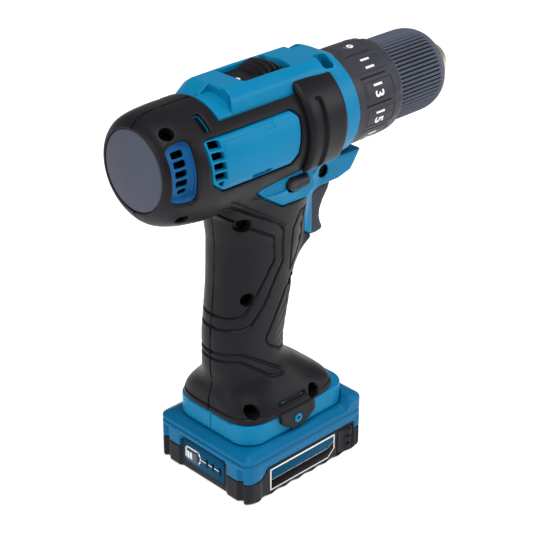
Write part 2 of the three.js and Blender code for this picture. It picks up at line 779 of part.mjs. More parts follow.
add("gear_case", gearCase, CAST);
STAGE_X.forEach((x, stage) => {
  add(`ring_gear_${stage + 1}`, ringGear(x), STEEL);
  for (let k = 0; k < 3; k++) {
    add(`planet_gear_${stage + 1}_${k + 1}`, planet(x + 0.3, k), STEEL);
  }
});
add("planet_carrier", firstCarrier, STEEL);
add("spindle", spindle, STEEL);
add("front_bearing", frontBearing, STEEL);

add("clutch_collar", clutchCollar, CHARCOAL);
add("clutch_plate", clutchPlate, STEEL);
add("clutch_spring", clutchSpring, STEEL);
add("chuck_body", chuckBody, CHAMPAGNE);
add("chuck_sleeve", chuckSleeve, GREY);
add("jaw_nut", jawNut, STEEL);
for (let k = 0; k < 3; k++) {
  add(`chuck_jaw_${k + 1}`, jaw(k), CHAMPAGNE);
}
add("chuck_screw", chuckScrew, BLACK);

add("trigger", trigger, CHARCOAL);
add("trigger_switch", triggerSwitch, BLACK);
add("trigger_spring", triggerSpring, STEEL);
add("direction_switch", directionSwitch, CHARCOAL);
add("speed_selector", speedSelector, CHARCOAL);
add("led_lens", ledLens, CLEAR);
add("contact_block", contactBlock, BRASS);

add("battery_case_top", caseTop, BLUE);
add("battery_case_bottom", caseBottom, BLACK);
[-1, 0, 1].forEach((k) => add(`battery_cell_${k + 2}`, batteryCell(k), WRAP));
add("battery_board", batteryBoard, GREEN);
add("battery_latch_right", latchLeft.mirror([0, 1, 0]), BLACK);
add("battery_latch_left", latchLeft, BLACK);
add("gauge_button", gaugeButton, GREY);

export default drill;
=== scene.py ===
"""A compact cordless drill: the looks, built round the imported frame.

Lengths in the modelling code are millimetres in the frame's own axes (+X towards the chuck, +Y to the
drill's left, +Z up), and mesh_object() turns them into metres. The curved shells are signed distance
fields on a voxel grid: below zero is inside, and the value is the distance to the surface.
"""
import json
import math

import bpy
import numpy as np
import openvdb
from mathutils import Matrix, Vector


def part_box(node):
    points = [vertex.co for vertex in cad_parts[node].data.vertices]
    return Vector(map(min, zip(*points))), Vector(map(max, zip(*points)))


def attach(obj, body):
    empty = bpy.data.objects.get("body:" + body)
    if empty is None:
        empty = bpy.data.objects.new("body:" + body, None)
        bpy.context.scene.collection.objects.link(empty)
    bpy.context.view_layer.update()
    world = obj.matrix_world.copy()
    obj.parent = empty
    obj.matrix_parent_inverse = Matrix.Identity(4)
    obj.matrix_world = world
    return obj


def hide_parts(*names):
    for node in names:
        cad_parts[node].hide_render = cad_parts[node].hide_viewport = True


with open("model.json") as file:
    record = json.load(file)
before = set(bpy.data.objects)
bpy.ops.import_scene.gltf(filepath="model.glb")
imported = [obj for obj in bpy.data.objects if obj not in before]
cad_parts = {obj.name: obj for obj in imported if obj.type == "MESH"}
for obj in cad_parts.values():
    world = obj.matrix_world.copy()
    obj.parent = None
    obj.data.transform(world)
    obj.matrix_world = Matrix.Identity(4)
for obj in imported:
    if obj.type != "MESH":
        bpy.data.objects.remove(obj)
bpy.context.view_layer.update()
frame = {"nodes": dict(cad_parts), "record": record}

MM = 0.001


def node_mm(name):
    """The lowest and highest corner of a CAD node, in millimetres."""
    low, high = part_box(name)
    return np.array(low) / MM, np.array(high) / MM


# ---------- driving dimensions, from the frame ----------
SLEEVE_LOW, SLEEVE_HIGH = node_mm("chuck_sleeve")
COLLAR_LOW, COLLAR_HIGH = node_mm("clutch_collar")
AXIS_Z = (SLEEVE_LOW[2] + SLEEVE_HIGH[2]) / 2  # height of the drive line
SLEEVE_R = (SLEEVE_HIGH[2] - SLEEVE_LOW[2]) / 2
COLLAR_R = (COLLAR_HIGH[2] - COLLAR_LOW[2]) / 2
SKIN = 1.8  # thickness of the soft overmould
SHELL = 4.0  # overmould and hard shell together

BARREL_R = 25  # mean radius of the barrel, which turns an angle on it into a length
# Barrel stations: x, half width, height above the axis, depth below it.
BARREL = np.array([
    [-75.4, 18.4, 18.4, 18.6],
    [-74.6, 20.6, 20.4, 20.9],
    [-73, 22.4, 22.1, 23.6],
    [-69.5, 24.1, 23.8, 26.4],
    [-64, 25.2, 24.6, 28.6],
    [-58, 25.9, 24.9, 30.2],
    [-48, 26.6, 25, 31.9],
    [-38, 26.9, 25, 32.3],
    [-20, 27, 25, 31.4],
    [0, 27, 25, 29.8],
    [24, 26.4, 25, 27],
    [39.5, 24.9, 24.9, 24.9],
])
# Handle stations, foot first: z, centre x, half length, half width, squareness.
HANDLE = np.array([
    [37.8, -2.4, 32.8, 27.7, 4],
    [40, -2.4, 32.8, 27.7, 4],
    [43, -2.8, 32.2, 26.8, 3.8],
    [46, -4.4, 30.2, 24.9, 3.4],
    [48.5, -6.0, 28, 22.6, 3],
    [51, -7, 26, 20.6, 2.7],
    [54, -8.6, 23.9, 18.6, 2.5],
    [57, -10.6, 22.1, 17, 2.4],
    [61, -12.4, 21, 15.9, 2.3],
    [70, -12.4, 21.1, 15.6, 2.3],
    [78, -11.6, 21.6, 16, 2.3],
    [104, -7.4, 23, 16.2, 2.3],
    [126, -4.4, 25, 17.2, 2.3],
    [140, -3.6, 27.2, 19.4, 2.3],
    [152, -5, 33, 22, 2.3],
])


# ---------- distance fields ----------
class Grid:
    """A block of voxels, with its coordinates as arrays that broadcast."""

    def __init__(self, low, high, step):
        self.step = step
        self.low = np.array(low, np.float32)
        counts = np.ceil((np.array(high) - self.low) / step).astype(int) + 1
        axes = [self.low[i] + step * np.arange(counts[i], dtype=np.float32) for i in range(3)]
        self.x = axes[0][:, None, None]
        self.y = axes[1][None, :, None]
        self.z = axes[2][None, None, :]


def smooth_min(a, b, radius):
    """The union of two fields, with a fillet of about this radius in the corner between them."""
    h = np.maximum(radius - np.abs(a - b), 0) / radius
    return np.minimum(a, b) - h * h * radius / 4


def smooth_max(a, b, radius):
    return -smooth_min(-a, -b, radius)


def normalised(field, step):
    """The field divided by its own slope, so that it measures distance near the surface."""
    gx, gy, gz = np.gradient(field, step)
    slope = np.sqrt(gx * gx + gy * gy + gz * gz)
    return field / np.clip(slope, 0.35, 3)


def blurred(values, cells):
    """values with a box of 2 * cells + 1 run along it twice, the ends held."""
    width = 2 * cells + 1
    kernel = np.ones(width) / width
    for _ in range(2):
        padded = np.pad(values, cells, mode="edge")
        values = np.convolve(padded, kernel, mode="valid")
    return values


def stations(table, along, soften):
    """Every column of a station table at the places along, with its kinks rounded."""
    cells = max(1, int(round(soften / (along[1] - along[0]))))
    columns = [np.interp(along, table[:, 0], column) for column in table.T[1:]]
    return [blurred(column, cells).astype(np.float32) for column in columns]


def polygon_field(points, x, z):
    """Distance in the plane to a closed outline, below zero inside it."""
    best = np.full(np.broadcast(x, z).shape, 1e9, np.float32)
    inside = np.zeros(best.shape, bool)
    for (ax, az), (bx, bz) in zip(points, points[1:] + points[:1]):
        ex, ez = bx - ax, bz - az
        t = np.clip(((x - ax) * ex + (z - az) * ez) / (ex * ex + ez * ez), 0, 1)
        best = np.minimum(best, (x - ax - t * ex) ** 2 + (z - az - t * ez) ** 2)
        if az != bz:
            crosses = (az > z) != (bz > z)
            inside ^= crosses & (x < ax + (z - az) / ez * ex)
    distance = np.sqrt(best)
    return np.where(inside, -distance, distance)


def line_field(points, x, z):
    """Distance in the plane to an open line."""
    best = np.full(np.broadcast(x, z).shape, 1e9, np.float32)
    for (ax, az), (bx, bz) in zip(points, points[1:]):
        ex, ez = bx - ax, bz - az
        t = np.clip(((x - ax) * ex + (z - az) * ez) / (ex * ex + ez * ez), 0, 1)
        best = np.minimum(best, (x - ax - t * ex) ** 2 + (z - az - t * ez) ** 2)
    return np.sqrt(best)


def rounded_polygon(points, radius, x, z):
    """polygon_field with its outer corners rounded to about this radius."""
    return polygon_field(shrunk(points, radius), x, z) - radius


def shrunk(points, amount):
    """A closed outline moved inwards by amount, corners kept sharp."""
    p = np.array(points, float)
    area = np.sum(p[:, 0] * np.roll(p[:, 1], -1) - np.roll(p[:, 0], -1) * p[:, 1])
    turn = 1 if area > 0 else -1
    before = p - np.roll(p, 1, 0)
    after = np.roll(p, -1, 0) - p
    before /= np.linalg.norm(before, axis=1)[:, None]
    after /= np.linalg.norm(after, axis=1)[:, None]
    normal = np.stack([-(before[:, 1] + after[:, 1]), before[:, 0] + after[:, 0]], 1)
    normal /= np.linalg.norm(normal, axis=1)[:, None]
    stretch = amount / np.maximum(0.4, np.sqrt((1 + np.sum(before * after, 1)) / 2))
    return [tuple(q) for q in p + turn * normal * stretch[:, None]]


def box_field(grid, low, high, radius=0.0):
    """A box with rounded edges."""
    middle = [(a + b) / 2 for a, b in zip(low, high)]
    half = [(b - a) / 2 - radius for a, b in zip(low, high)]
    q = [np.abs(axis - m) - h for axis, m, h in zip((grid.x, grid.y, grid.z), middle, half)]
    outside = np.sqrt(sum(np.maximum(v, 0) ** 2 for v in q))
    return outside + np.minimum(np.maximum(np.maximum(q[0], q[1]), q[2]), 0) - radius


def rounded_plan(over_a, over_b, corner):
    """A rectangle with rounded corners, from how far a point is past each of its two sides."""
    a, b = over_a + corner, over_b + corner
    outside = np.sqrt(np.maximum(a, 0) ** 2 + np.maximum(b, 0) ** 2)
    return outside + np.minimum(np.maximum(a, b), 0) - corner


def groove(distance, half_width, depth):
    """How far a round-bottomed groove goes in, at this distance from its middle line."""
    return depth * np.clip(1 - (distance / half_width) ** 2, 0, 1)


def ramp(value, low, high):
    """0 below low, 1 above high, smooth between them."""
    t = np.clip((value - low) / (high - low), 0, 1)
    return t * t * (3 - 2 * t)


# ---------- meshes ----------
def sampled(field, grid, points):
    """The field at any points, by trilinear interpolation."""
    p = (points - grid.low) / grid.step
    limit = np.array(field.shape) - 1.001
    p = np.clip(p, 0, limit)
    base = p.astype(int)
    f = p - base
    total = 0
    for corner in range(8):
        offset = np.array([corner & 1, corner >> 1 & 1, corner >> 2 & 1])
        weight = np.prod(np.where(offset, f, 1 - f), axis=1)
        i = base + offset
        total = total + weight * field[i[:, 0], i[:, 1], i[:, 2]]
    return total


def mesh_object(name, points, faces, normals=None, flip=False):
    """A mesh object from millimetre points and a list of face arrays, all triangles or all quads in each."""
    mesh = bpy.data.meshes.new(name)
    points = np.asarray(points, float) * MM
    loops = np.concatenate([f.reshape(-1) for f in faces])
    sizes = np.concatenate([np.full(len(f), f.shape[1]) for f in faces])
    if flip:
        loops = np.concatenate([f[:, ::-1].reshape(-1) for f in faces])
    mesh.vertices.add(len(points))
    mesh.vertices.foreach_set("co", points.reshape(-1))
    mesh.loops.add(len(loops))
    mesh.loops.foreach_set("vertex_index", loops.astype(np.int32))
    mesh.polygons.add(len(sizes))
    starts = np.concatenate([[0], np.cumsum(sizes)[:-1]])
    mesh.polygons.foreach_set("loop_start", starts.astype(np.int32))
    mesh.update(calc_edges=True)
    mesh.validate()
    if normals is not None:
        mesh.normals_split_custom_set_from_vertices(normals.tolist())
    obj = bpy.data.objects.new(name, mesh)
    bpy.context.scene.collection.objects.link(obj)
    return obj


def field_object(name, field, grid, detail=0.004, mirror=False):
    """The surface of a field as a mesh object. mirror puts it on the drill's other side."""
    band = 3 * grid.step
    volume = openvdb.FloatGrid(background=band)
    volume.copyFromArray(np.ascontiguousarray(np.clip(field, -band, band)))
    points, triangles, quads = volume.convertToPolygons(isovalue=0, adaptivity=detail)
    points = points.astype(float) * grid.step + grid.low
    half = grid.step / 2
    slopes = []
    for axis in range(3):
        move = np.zeros(3)
        move[axis] = half
        slopes.append(sampled(field, grid, points + move) - sampled(field, grid, points - move))
    normals = np.stack(slopes, 1)
    normals /= np.maximum(np.linalg.norm(normals, axis=1), 1e-9)[:, None]
    if mirror:
        points[:, 1] *= -1
        normals[:, 1] *= -1
    faces = [f.astype(int) for f in (triangles, quads) if len(f)]
    return mesh_object(name, points, faces, normals, flip=mirror)


# ---------- materials ----------
def material(name, colour, roughness, metallic=0.0, spread=0.1, grain_mm=0.5, grain_depth_mm=0.01,
             rough_spread=0.08, edge_wear_and_highlight=0.0, stretch=(1, 1, 1), specular=0.12):
    """A procedural finish: clouded colour, varied roughness, a fine moulded grain, and lighter edges that are
    partly wear and partly a painted highlight.
    """
    made = bpy.data.materials.new(name)
    made.use_nodes = True
    nodes, links = made.node_tree.nodes, made.node_tree.links
    shader = nodes["Principled BSDF"]
    shader.inputs["Metallic"].default_value = metallic
    shader.inputs["Specular IOR Level"].default_value = specular
    place = nodes.new("ShaderNodeTexCoord")
    mapping = nodes.new("ShaderNodeMapping")
    mapping.inputs["Scale"].default_value = stretch
    links.new(place.outputs["Object"], mapping.inputs["Vector"])

    cloud = nodes.new("ShaderNodeTexNoise")
    cloud.inputs["Scale"].default_value = 55
    cloud.inputs["Detail"].default_value = 5
    links.new(mapping.outputs["Vector"], cloud.inputs["Vector"])
    tint = nodes.new("ShaderNodeValToRGB")
    tint.color_ramp.elements[0].position = 0.3
    tint.color_ramp.elements[1].position = 0.7
    tint.color_ramp.elements[0].color = [*(c * (1 - spread) for c in colour), 1]
    tint.color_ramp.elements[1].color = [*(min(1, c * (1 + spread)) for c in colour), 1]
    links.new(cloud.outputs["Fac"], tint.inputs["Fac"])
    last = tint.outputs["Color"]
    # Edges are lighter where Pointiness is high: partly edge wear, partly a painted highlight.
    if edge_wear_and_highlight:
        geometry = nodes.new("ShaderNodeNewGeometry")
        edges = nodes.new("ShaderNodeMapRange")
        edges.inputs["From Min"].default_value = 0.52
        edges.inputs["From Max"].default_value = 0.62
        edges.inputs["To Max"].default_value = edge_wear_and_highlight
        links.new(geometry.outputs["Pointiness"], edges.inputs["Value"])
        mix = nodes.new("ShaderNodeMix")
        mix.data_type = "RGBA"
        mix.inputs["B"].default_value = [*(min(1, c * 1.8 + 0.03) for c in colour), 1]
        links.new(edges.outputs["Result"], mix.inputs["Factor"])
        links.new(last, mix.inputs["A"])
        last = mix.outputs["Result"]
    links.new(last, shader.inputs["Base Color"])

    grain = nodes.new("ShaderNodeTexNoise")
    grain.inputs["Scale"].default_value = 1 / (grain_mm * MM)
    grain.inputs["Detail"].default_value = 3
    links.new(mapping.outputs["Vector"], grain.inputs["Vector"])
    rough = nodes.new("ShaderNodeMapRange")
    rough.inputs["From Min"].default_value = 0.3
    rough.inputs["From Max"].default_value = 0.7
    rough.inputs["To Min"].default_value = roughness - rough_spread
    rough.inputs["To Max"].default_value = roughness + rough_spread
    links.new(cloud.outputs["Fac"], rough.inputs["Value"])
    links.new(rough.outputs["Result"], shader.inputs["Roughness"])
    bump = nodes.new("ShaderNodeBump")
    bump.inputs["Strength"].default_value = 1
    bump.inputs["Distance"].default_value = grain_depth_mm * MM
    links.new(grain.outputs["Fac"], bump.inputs["Height"])
    links.new(bump.outputs["Normal"], shader.inputs["Normal"])
    return made


SHELL_FINISH = dict(spread=0.05, grain_depth_mm=0.008, edge_wear_and_highlight=0.15, specular=0.1)
CASE_FINISH = dict(grain_mm=0.35, grain_depth_mm=0.015)
GREY_FINISH = dict(grain_mm=0.4, grain_depth_mm=0.012)
BLUE = material("blue_shell", (0.001, 0.175, 0.345), 0.38, **SHELL_FINISH)
# A darker copy of the shell blue: painted shade for the blue grille down in the rear vent bay.
BLUE_PAINTED_SHADE = material("blue_painted_shade", (0.006, 0.09, 0.26), 0.45, spread=0.08)
CHARCOAL = material("soft_charcoal", (0.0085, 0.0075, 0.0095), 0.42, grain_mm=0.35, grain_depth_mm=0.018,
                    edge_wear_and_highlight=0.25)
GREY = material("cool_grey_plastic", (0.058, 0.065, 0.090), 0.5, edge_wear_and_highlight=0.4, **GREY_FINISH)
SLEEVE_SKIN = material("sleeve_rubber", (0.074, 0.084, 0.116), 0.5)
PACK_BLUE = material("battery_blue", (0.001, 0.120, 0.265), 0.38, **SHELL_FINISH)
COLLAR_SKIN = material("collar_plastic", (0.036, 0.036, 0.046), 0.45, edge_wear_and_highlight=0.35, **CASE_FINISH)
BLACK_CASE = material("battery_plastic", (0.0105, 0.0095, 0.0135), 0.42, edge_wear_and_highlight=0.3, **CASE_FINISH)
BLACK = material("black_plastic", (0.004, 0.004, 0.005), 0.6, grain_depth_mm=0.01, edge_wear_and_highlight=0.1, specular=0.05)
TRIGGER_SKIN = material("trigger_plastic", (0.034, 0.037, 0.051), 0.45, **GREY_FINISH)
STEEL = material("steel", (0.45, 0.45, 0.44), 0.3, metallic=1, stretch=(1, 8, 8), grain_depth_mm=0.004)
CAST = material("cast_metal", (0.34, 0.35, 0.36), 0.45, metallic=1, grain_mm=0.8, grain_depth_mm=0.03)
CHAMPAGNE = material("champagne_metal", (0.62, 0.56, 0.42), 0.28, metallic=1, stretch=(6, 1, 1),
                     grain_depth_mm=0.004)
BLACK_SCREW = material("black_screw", (0.02, 0.02, 0.022), 0.35, metallic=0.8, grain_depth_mm=0.006)
COPPER = material("copper", (0.55, 0.26, 0.14), 0.35, metallic=1)
BRASS = material("brass", (0.60, 0.45, 0.18), 0.35, metallic=1)
GREEN = material("green_board", (0.02, 0.14, 0.06), 0.5)
WRAP = material("cell_wrap", (0.03, 0.16, 0.42), 0.3)
WHITE = material("white_print", (0.82, 0.83, 0.82), 0.45, spread=0.03)
TEAL = material("teal_print", (0.003, 0.062, 0.135), 0.6, spread=0.04, specular=0.05)
LENS = material("clear_lens", (0.8, 0.84, 0.87), 0.12, spread=0.03)
SLOT_MATERIALS = {
    "blue_shell": BLUE, "soft_charcoal": CHARCOAL, "cool_grey_plastic": GREY, "black_plastic": BLACK,
    "steel": STEEL, "cast_metal": CAST, "champagne_metal": CHAMPAGNE, "black_screw": BLACK_SCREW,
    "copper": COPPER, "brass": BRASS, "clear_lens": LENS, "green_board": GREEN, "cell_wrap": WRAP,
}
NODE_SLOT = {part["node"]: part["material_slot"] for part in frame["record"]["subparts"]}
BODIES = frame["record"]["behaviour"]["bodies"]
NODE_BODY = {node: body for body, members in BODIES.items() for node in members}


def finish_piece(piece, look, *nodes, body=None):
    """Gives a piece its material, and puts it in place of these CAD nodes, or on a body with no node."""
    piece.data.materials.append(look)
    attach(piece, body or NODE_BODY[nodes[0]])
    if nodes:
        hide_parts(*nodes)
    return piece


# ---------- the housing, overmould and top cover ----------
# Outlines in X and Z, seen from the side.
SOFT_OUTLINE = [
    (-80, 210), (6, 210), (6, 159.4), (-19.4, 157.2), (-21.8, 155.4), (-18.6, 152.2), (-6, 143.8),
    (12.5, 142.6), (16.6, 137), (18.4, 119), (21, 117), (29, 113.4), (32, 104), (40, 60), (40, 37.8),
    (-80, 37.8),
]
WEDGE = [
    (-21.8, 155.4), (-18.6, 152.2), (-6, 143.8), (11, 143.4), (15.5, 148), (13, 158.8), (-19.4, 157.2),
]
PANEL_OUTLINE = [
    (-54.5, 190.2), (-3, 190.4), (0.8, 187), (-1.2, 170.5), (-5.5, 166), (-46, 166), (-52.5, 171),
]
GRIP_LOOP = [
    (-46, 146.5), (-39.4, 152.9), (-35.9, 152.2), (-6.5, 135.1), (-2.7, 130.5), (-2, 113.7), (-13.5, 94),
    (-21, 85.2), (-25, 84), (-40, 83.8),
]
GRIP_PANEL = [
    (-43.5, 147.6), (-38.9, 148.3), (-28.8, 141.5), (-19.7, 135.3), (-8.4, 128.4), (-7.4, 116.7),
    (-18.6, 98.5),
    (-23.4, 91.4), (-26, 90.3), (-40, 90),
]
GRIP_SHOULDER = [(-38, 156.6), (-8.5, 137.8), (-2, 133)]
GRIP_FOLDS = [
    [(-40, 71.6), (-25, 70.8), (-4, 56.6)],
    [(-40, 68.4), (-25.5, 66.6), (-10.4, 55), (-3, 54.2)],
]
FRONT_PAD = [(8.4, 136), (13.6, 136.4), (14, 119), (9.2, 111), (4.2, 106.5), (4.6, 128.4)]
FINGER_PAD = [(24, 103), (6.5, 100.6), (1.4, 97.7), (-12.3, 76), (-10.6, 71.5), (-3, 66), (24, 62)]
SCREWS = [f"housing_screw_{i}" for i in range(3, 9)]
RIB_PITCH = 5.2  # finger ribs on the front of the grip
RIB_DEPTH = 0.6
FOOT_LINE_Z = 41.4  # groove round the foot's rim
WEDGE_HALF = 20.4  # how far out the flat round the direction switch stands
JOINT_GAP = 0.12  # half the gap between hard shell and overmould
EYELET = (-3.2, 33.8)  # middle of the strap eyelet, in X and Z
EYELET_R = 2.1
WELL_R = 3.2  # radius of a screw well at the surface
BARREL_WELLS = [(-67.5, 53.5), (-63, -50)]  # X and angle of the two wells that meet the barrel square on


def outer_field(grid):
    """The drill's body: barrel, handle, foot, trigger hood and chin, as one filleted shape."""
    x, u, z = grid.x, np.abs(grid.y), grid.z
    dz = z - AXIS_Z
    half, above, below = (v[:, None, None] for v in stations(BARREL, x[:, 0, 0], 1.5))
    height = np.where(dz > 0, above, below)
    share = np.sqrt((u / half) ** 2 + (dz / height) ** 2) + 1e-6
    radius = np.sqrt(u * u + dz * dz)
    barrel = radius - radius / share
    barrel = smooth_max(barrel, BARREL[0, 0] + 0.4 - x, 1.6)
    barrel = np.maximum(barrel, x - BARREL[-1, 0])

    middle, length, width, power = (v[None, None, :] for v in stations(HANDLE, z[0, 0], 1.2))
    share = ((np.abs(x - middle) / length) ** power + (u / width) ** power) ** (1 / power) + 1e-6
    radius = np.sqrt((x - middle) ** 2 + u * u)
    handle = np.maximum(radius - radius / share, z - HANDLE[-1, 0])
    handle = smooth_max(handle, HANDLE[0, 0] - z, 1.2)
    body = smooth_min(barrel, handle, 5.5)

    flat_x, flat_z = grid.x[:, 0], grid.z[:, 0]
    guard = [(0, 108), (12, 107.5), (18, 110), (23.6, 113.6), (25.2, 116.5), (25.2, 150), (0, 150)]
    chin = [
        (10, 139.6), (40, 139.6), (48.6, 141.8), (51, 144.6), (56, 151.9), (39, 151.9), (34, 156), (10, 156),
    ]
    hood = slab_field(rounded_polygon(guard, 1.5, flat_x, flat_z), u, 9.8, 2.2)
    lip = slab_field(rounded_polygon(chin, 0.8, flat_x, flat_z), u, 11.4, 1.6)
    body = smooth_min(body, hood, 5)
    body = smooth_min(body, lip, 4)
    return normalised(body, grid.step)


def slab_field(flat, u, half, radius):
    """A flat outline carried to both sides as far as half, with rounded rims."""
    return rounded_plan(flat[:, None, :], u - half, radius)


class Body:
    """The fields of one half of the drill's body, on its own grid."""

    def __init__(self, step):
        self.grid = grid = Grid((-78, -32, 26), (58, 0.6, 207), step)
        self.u = np.abs(grid.y)
        self.flat_x, self.flat_z = grid.x[:, 0], grid.z[:, 0]
        self.dz = grid.z - AXIS_Z
        self.radius = np.sqrt(self.u ** 2 + self.dz ** 2)
        self.angle = np.degrees(np.arctan2(self.dz, self.u))
        self.outer = outer_field(grid)
        self.soft = polygon_field(SOFT_OUTLINE, self.flat_x, self.flat_z)
        self.panel = rounded_polygon(PANEL_OUTLINE, 2.2, self.flat_x, self.flat_z)

    def side(self, flat):
        """A field of the side view, as an array that broadcasts across Y."""
        return flat[:, None, :]

    def arc_patch(self, x0, x1, low, high, radius):
        """A rounded patch on the barrel, from x0 to x1 and between two angles in degrees."""
        along = np.abs(self.grid.x - (x0 + x1) / 2) - (x1 - x0) / 2
        round_it = np.radians(np.abs(self.angle - (low + high) / 2) - (high - low) / 2) * BARREL_R
        return rounded_plan(along, round_it, radius)


def dressed_outer(body):
    """The outer surface with its grooves, folds and pads."""
    fx, fz = body.flat_x, body.flat_z
    flat = np.zeros(np.broadcast(fx, fz).shape, np.float32)
    flat += groove(line_field(GRIP_LOOP, fx, fz), 0.75, 1.1)
    flat += groove(line_field(GRIP_PANEL, fx, fz), 0.75, 1.1)
    flat += groove(line_field(GRIP_SHOULDER, fx, fz), 0.6, 0.7)
    for fold in GRIP_FOLDS:
        flat += groove(line_field(fold, fx, fz), 0.9, 1.1)
    for pad in (FRONT_PAD, FINGER_PAD):
        ring = polygon_field(pad, fx, fz)
        flat += groove(np.abs(ring), 0.7, 1.0)
    ribs = ramp(-polygon_field(FINGER_PAD, fx, fz), 1.5, 3) * ramp(fx, -8, 8)
    flat += ribs * RIB_DEPTH / 2 * (1 + np.cos((fz - 0.9 * fx) * 2 * np.pi / RIB_PITCH))
    flat += groove(fz - FOOT_LINE_Z, 0.7, 0.9)
    strap_slot = np.maximum(np.abs(fx + 4.8) - 9, np.abs(fz - 43.6) - 0.9)
    flat += 1.5 * ramp(-strap_slot, -0.3, 0.3)
    for z in (133.6, 127, 119.5):
        dash = np.maximum(np.abs(fx - 11.9) - 0.35, np.abs(fz - z) - 1.7)
        flat += 0.8 * ramp(-dash, -0.2, 0.2)
    wedge = slab_field(polygon_field(WEDGE, fx, fz), body.u, WEDGE_HALF, 0.6)
    return smooth_min(body.outer + body.side(flat), wedge, 1.2)


def cover_field(body):
    """The top cover's faceted outer surface."""
    x, u, dz = body.grid.x, body.u, body.dz
    flat, top = (v[:, None, None] for v in stations(COVER, x[:, 0, 0], 0.25))
    middle = (COVER_HALF + flat) / 2 + 1.6
    over = dz - top
    run, drop = middle - flat, 3.6
    upper = ((u - flat) * drop + over * run) / np.sqrt(run * run + drop * drop)
    run, fall = COVER_HALF - middle, 6.9
    lower = ((u - middle) * fall + (over + drop) * run) / np.sqrt(run * run + fall * fall)
    shape = smooth_max(smooth_max(over, upper, 0.7), lower, 1.2)
    shape = smooth_max(shape, u - COVER_HALF, 0.8)
    shape = smooth_max(shape, cover_rear(u) - x, 0.5)
    return np.maximum(shape, x - COVER[-1, 0] + 0.2)


def cover_scoop(x, u, dz):
    """The faceted finger scoop beside the cover's rear slope, below zero inside."""
    floor = 23 - 0.3 * u + 0.06 * (x + 36)
    wall = x + 31.4 - 0.05 * u + 0.6 * np.maximum(u - 12.6, 0)
    return np.maximum(np.maximum(floor - dz, wall), 0.5 - u)


def cover_rear(u):
    """Where the cover's rear edge lies at each distance from the mid-plane."""
    return -40.4 - 0.02 * u


# Top cover stations: x, half width of its flat top, height of the top above the axis.
COVER = np.array([
    [-42, 9, 21.6],
    [-32.4, 10, 28.3],
    [-10, 10.4, 28.4],
    [28, 10.4, 28.1],
    [33, 9.6, 27.6],
    [37, 7.4, 26.2],
    [38.9, 5.6, 24.9],
])
COVER_HALF = 17.2
COVER_FOOT_Z = 188  # the cover lies wholly above this height
SELECTOR = (-19, 9.5, 9.5)  # rear end, front end and half width of the speed selector's bay
DECK = 21.6  # depth of that bay, above the axis
PLATE = 26  # height of the selector's sliding plate, above the axis


def selector_bay(body):
    """The bay of the speed selector, with a sloping front wall."""
    rear, front, half = SELECTOR
    bay = box_field(body.grid, (rear, -half, AXIS_Z + DECK), (front, half, 240), 1.2)
    slope = (body.grid.x - front - (body.dz - DECK) * 0.3 + 0.035 * body.u ** 2) * 0.95
    wide = box_field(body.grid, (rear, -half, AXIS_Z + DECK + 1), (front + 3, half, 240), 1.2)
    pocket = box_field(body.grid, (rear - 9.4, -half, AXIS_Z + DECK), (front, half, AXIS_Z + PLATE + 0.3))
    return np.minimum(np.minimum(bay, np.maximum(wide, slope)), pocket)


def well_field(body, place, radius):
    """A screw well: a round hole along Y with a flared mouth."""
    x, z = place
    distance = np.sqrt((body.grid.x - x) ** 2 + (body.grid.z - z) ** 2)
    return distance - radius - 0.3 * ramp(body.outer, -1.4, 0.4)


def barrel_well_field(body, x, degrees):
    """A well that meets the barrel square on, with a flat floor."""
    c, s = math.cos(math.radians(degrees)), math.sin(math.radians(degrees))
    across = body.u * s - body.dz * c
    distance = np.sqrt((body.grid.x - x) ** 2 + across * across)
    return np.maximum(distance - WELL_R, -6.5 - body.outer)


def screw_places():
    """Where each handle screw's axis is in X and Z."""
    found = []
    for name in SCREWS:
        low, high = node_mm(name)
        found.append(((low[0] + high[0]) / 2, (low[2] + high[2]) / 2))
    return found


def rear_vent(body):
    """The vent bay beside the rear cap, and the windows of its blue grille."""
    bay = body.arc_patch(-71.6, -60.2, -26, 41, 3)
    bay = smooth_max(bay, 20.6 + 0.1 * (body.grid.x + 72) - body.radius, 0.8)
    floor = body.arc_patch(-73.4, -58.4, -29, 44, 2)
    floor = np.maximum(floor, np.maximum(18.2 - body.radius, body.radius - 22.6))
    windows = None
    for middle in (30.5, 18.6, 6.8, -5):
        window = body.arc_patch(-68.6, -62.6, middle - 4.3, middle + 4.3, 0.7)
        windows = window if windows is None else np.minimum(windows, window)
    tip = body.arc_patch(-67.6, -63, -19.4, -12, 1.4)
    return bay, floor, np.minimum(windows, tip)


def panel_windows(body):
    """The five vent windows at the rear of the side panel, in the side view."""
    fx, fz = body.flat_x, body.flat_z
    lean = (fz - AXIS_Z) * 0.1
    windows = None
    for height in (11, 6.5, 2, -2.4):
        rise = fz - AXIS_Z - height + 0.06 * (fx + 48.4)
        window = np.maximum(np.abs(fx + 48 + lean) - 3.2, np.abs(rise) - 1.75)
        windows = window if windows is None else np.minimum(windows, window)
    tip = rounded_polygon([(-49.6, 170.9), (-45.9, 171.4), (-46.6, 168.4)], 0.3, fx, fz)
    return np.minimum(windows, tip)


def all_wells(body):
    """Every screw well on the right side."""
    wells = [well_field(body, place, WELL_R) for place in screw_places()]
    wells += [barrel_well_field(body, x, degrees) for x, degrees in BARREL_WELLS]
    return np.minimum.reduce(wells)


def panel_relief(body):
    """How far the side panel and the wedge's rim are cut in, in the side view."""
    fx, fz, rise = body.flat_x, body.flat_z, body.flat_z - AXIS_Z
    plateau = np.maximum(body.panel + 2.6, -44.4 - fx)
    tab = np.maximum(np.abs(fx + 20.5) - 5.6, np.abs(rise - 11.2) - 1.1)
    lower_slot = np.maximum(np.abs(fx + 23.5) - 5.6, np.abs(rise + 8.3) - 0.75)
    relief = 0.35 * ramp(plateau, -0.6, 0.6) + 0.45 * ramp(-tab, -0.3, 0.4)
    relief = relief + 1.6 * ramp(-lower_slot, -0.2, 0.4)
    rim = groove(np.abs(body.soft - 2.0), 0.6, 0.35) * (1 - ramp(fx, 2, 6)) * ramp(162 - fz, 0, 2)
    return (relief + rim).astype(np.float32)


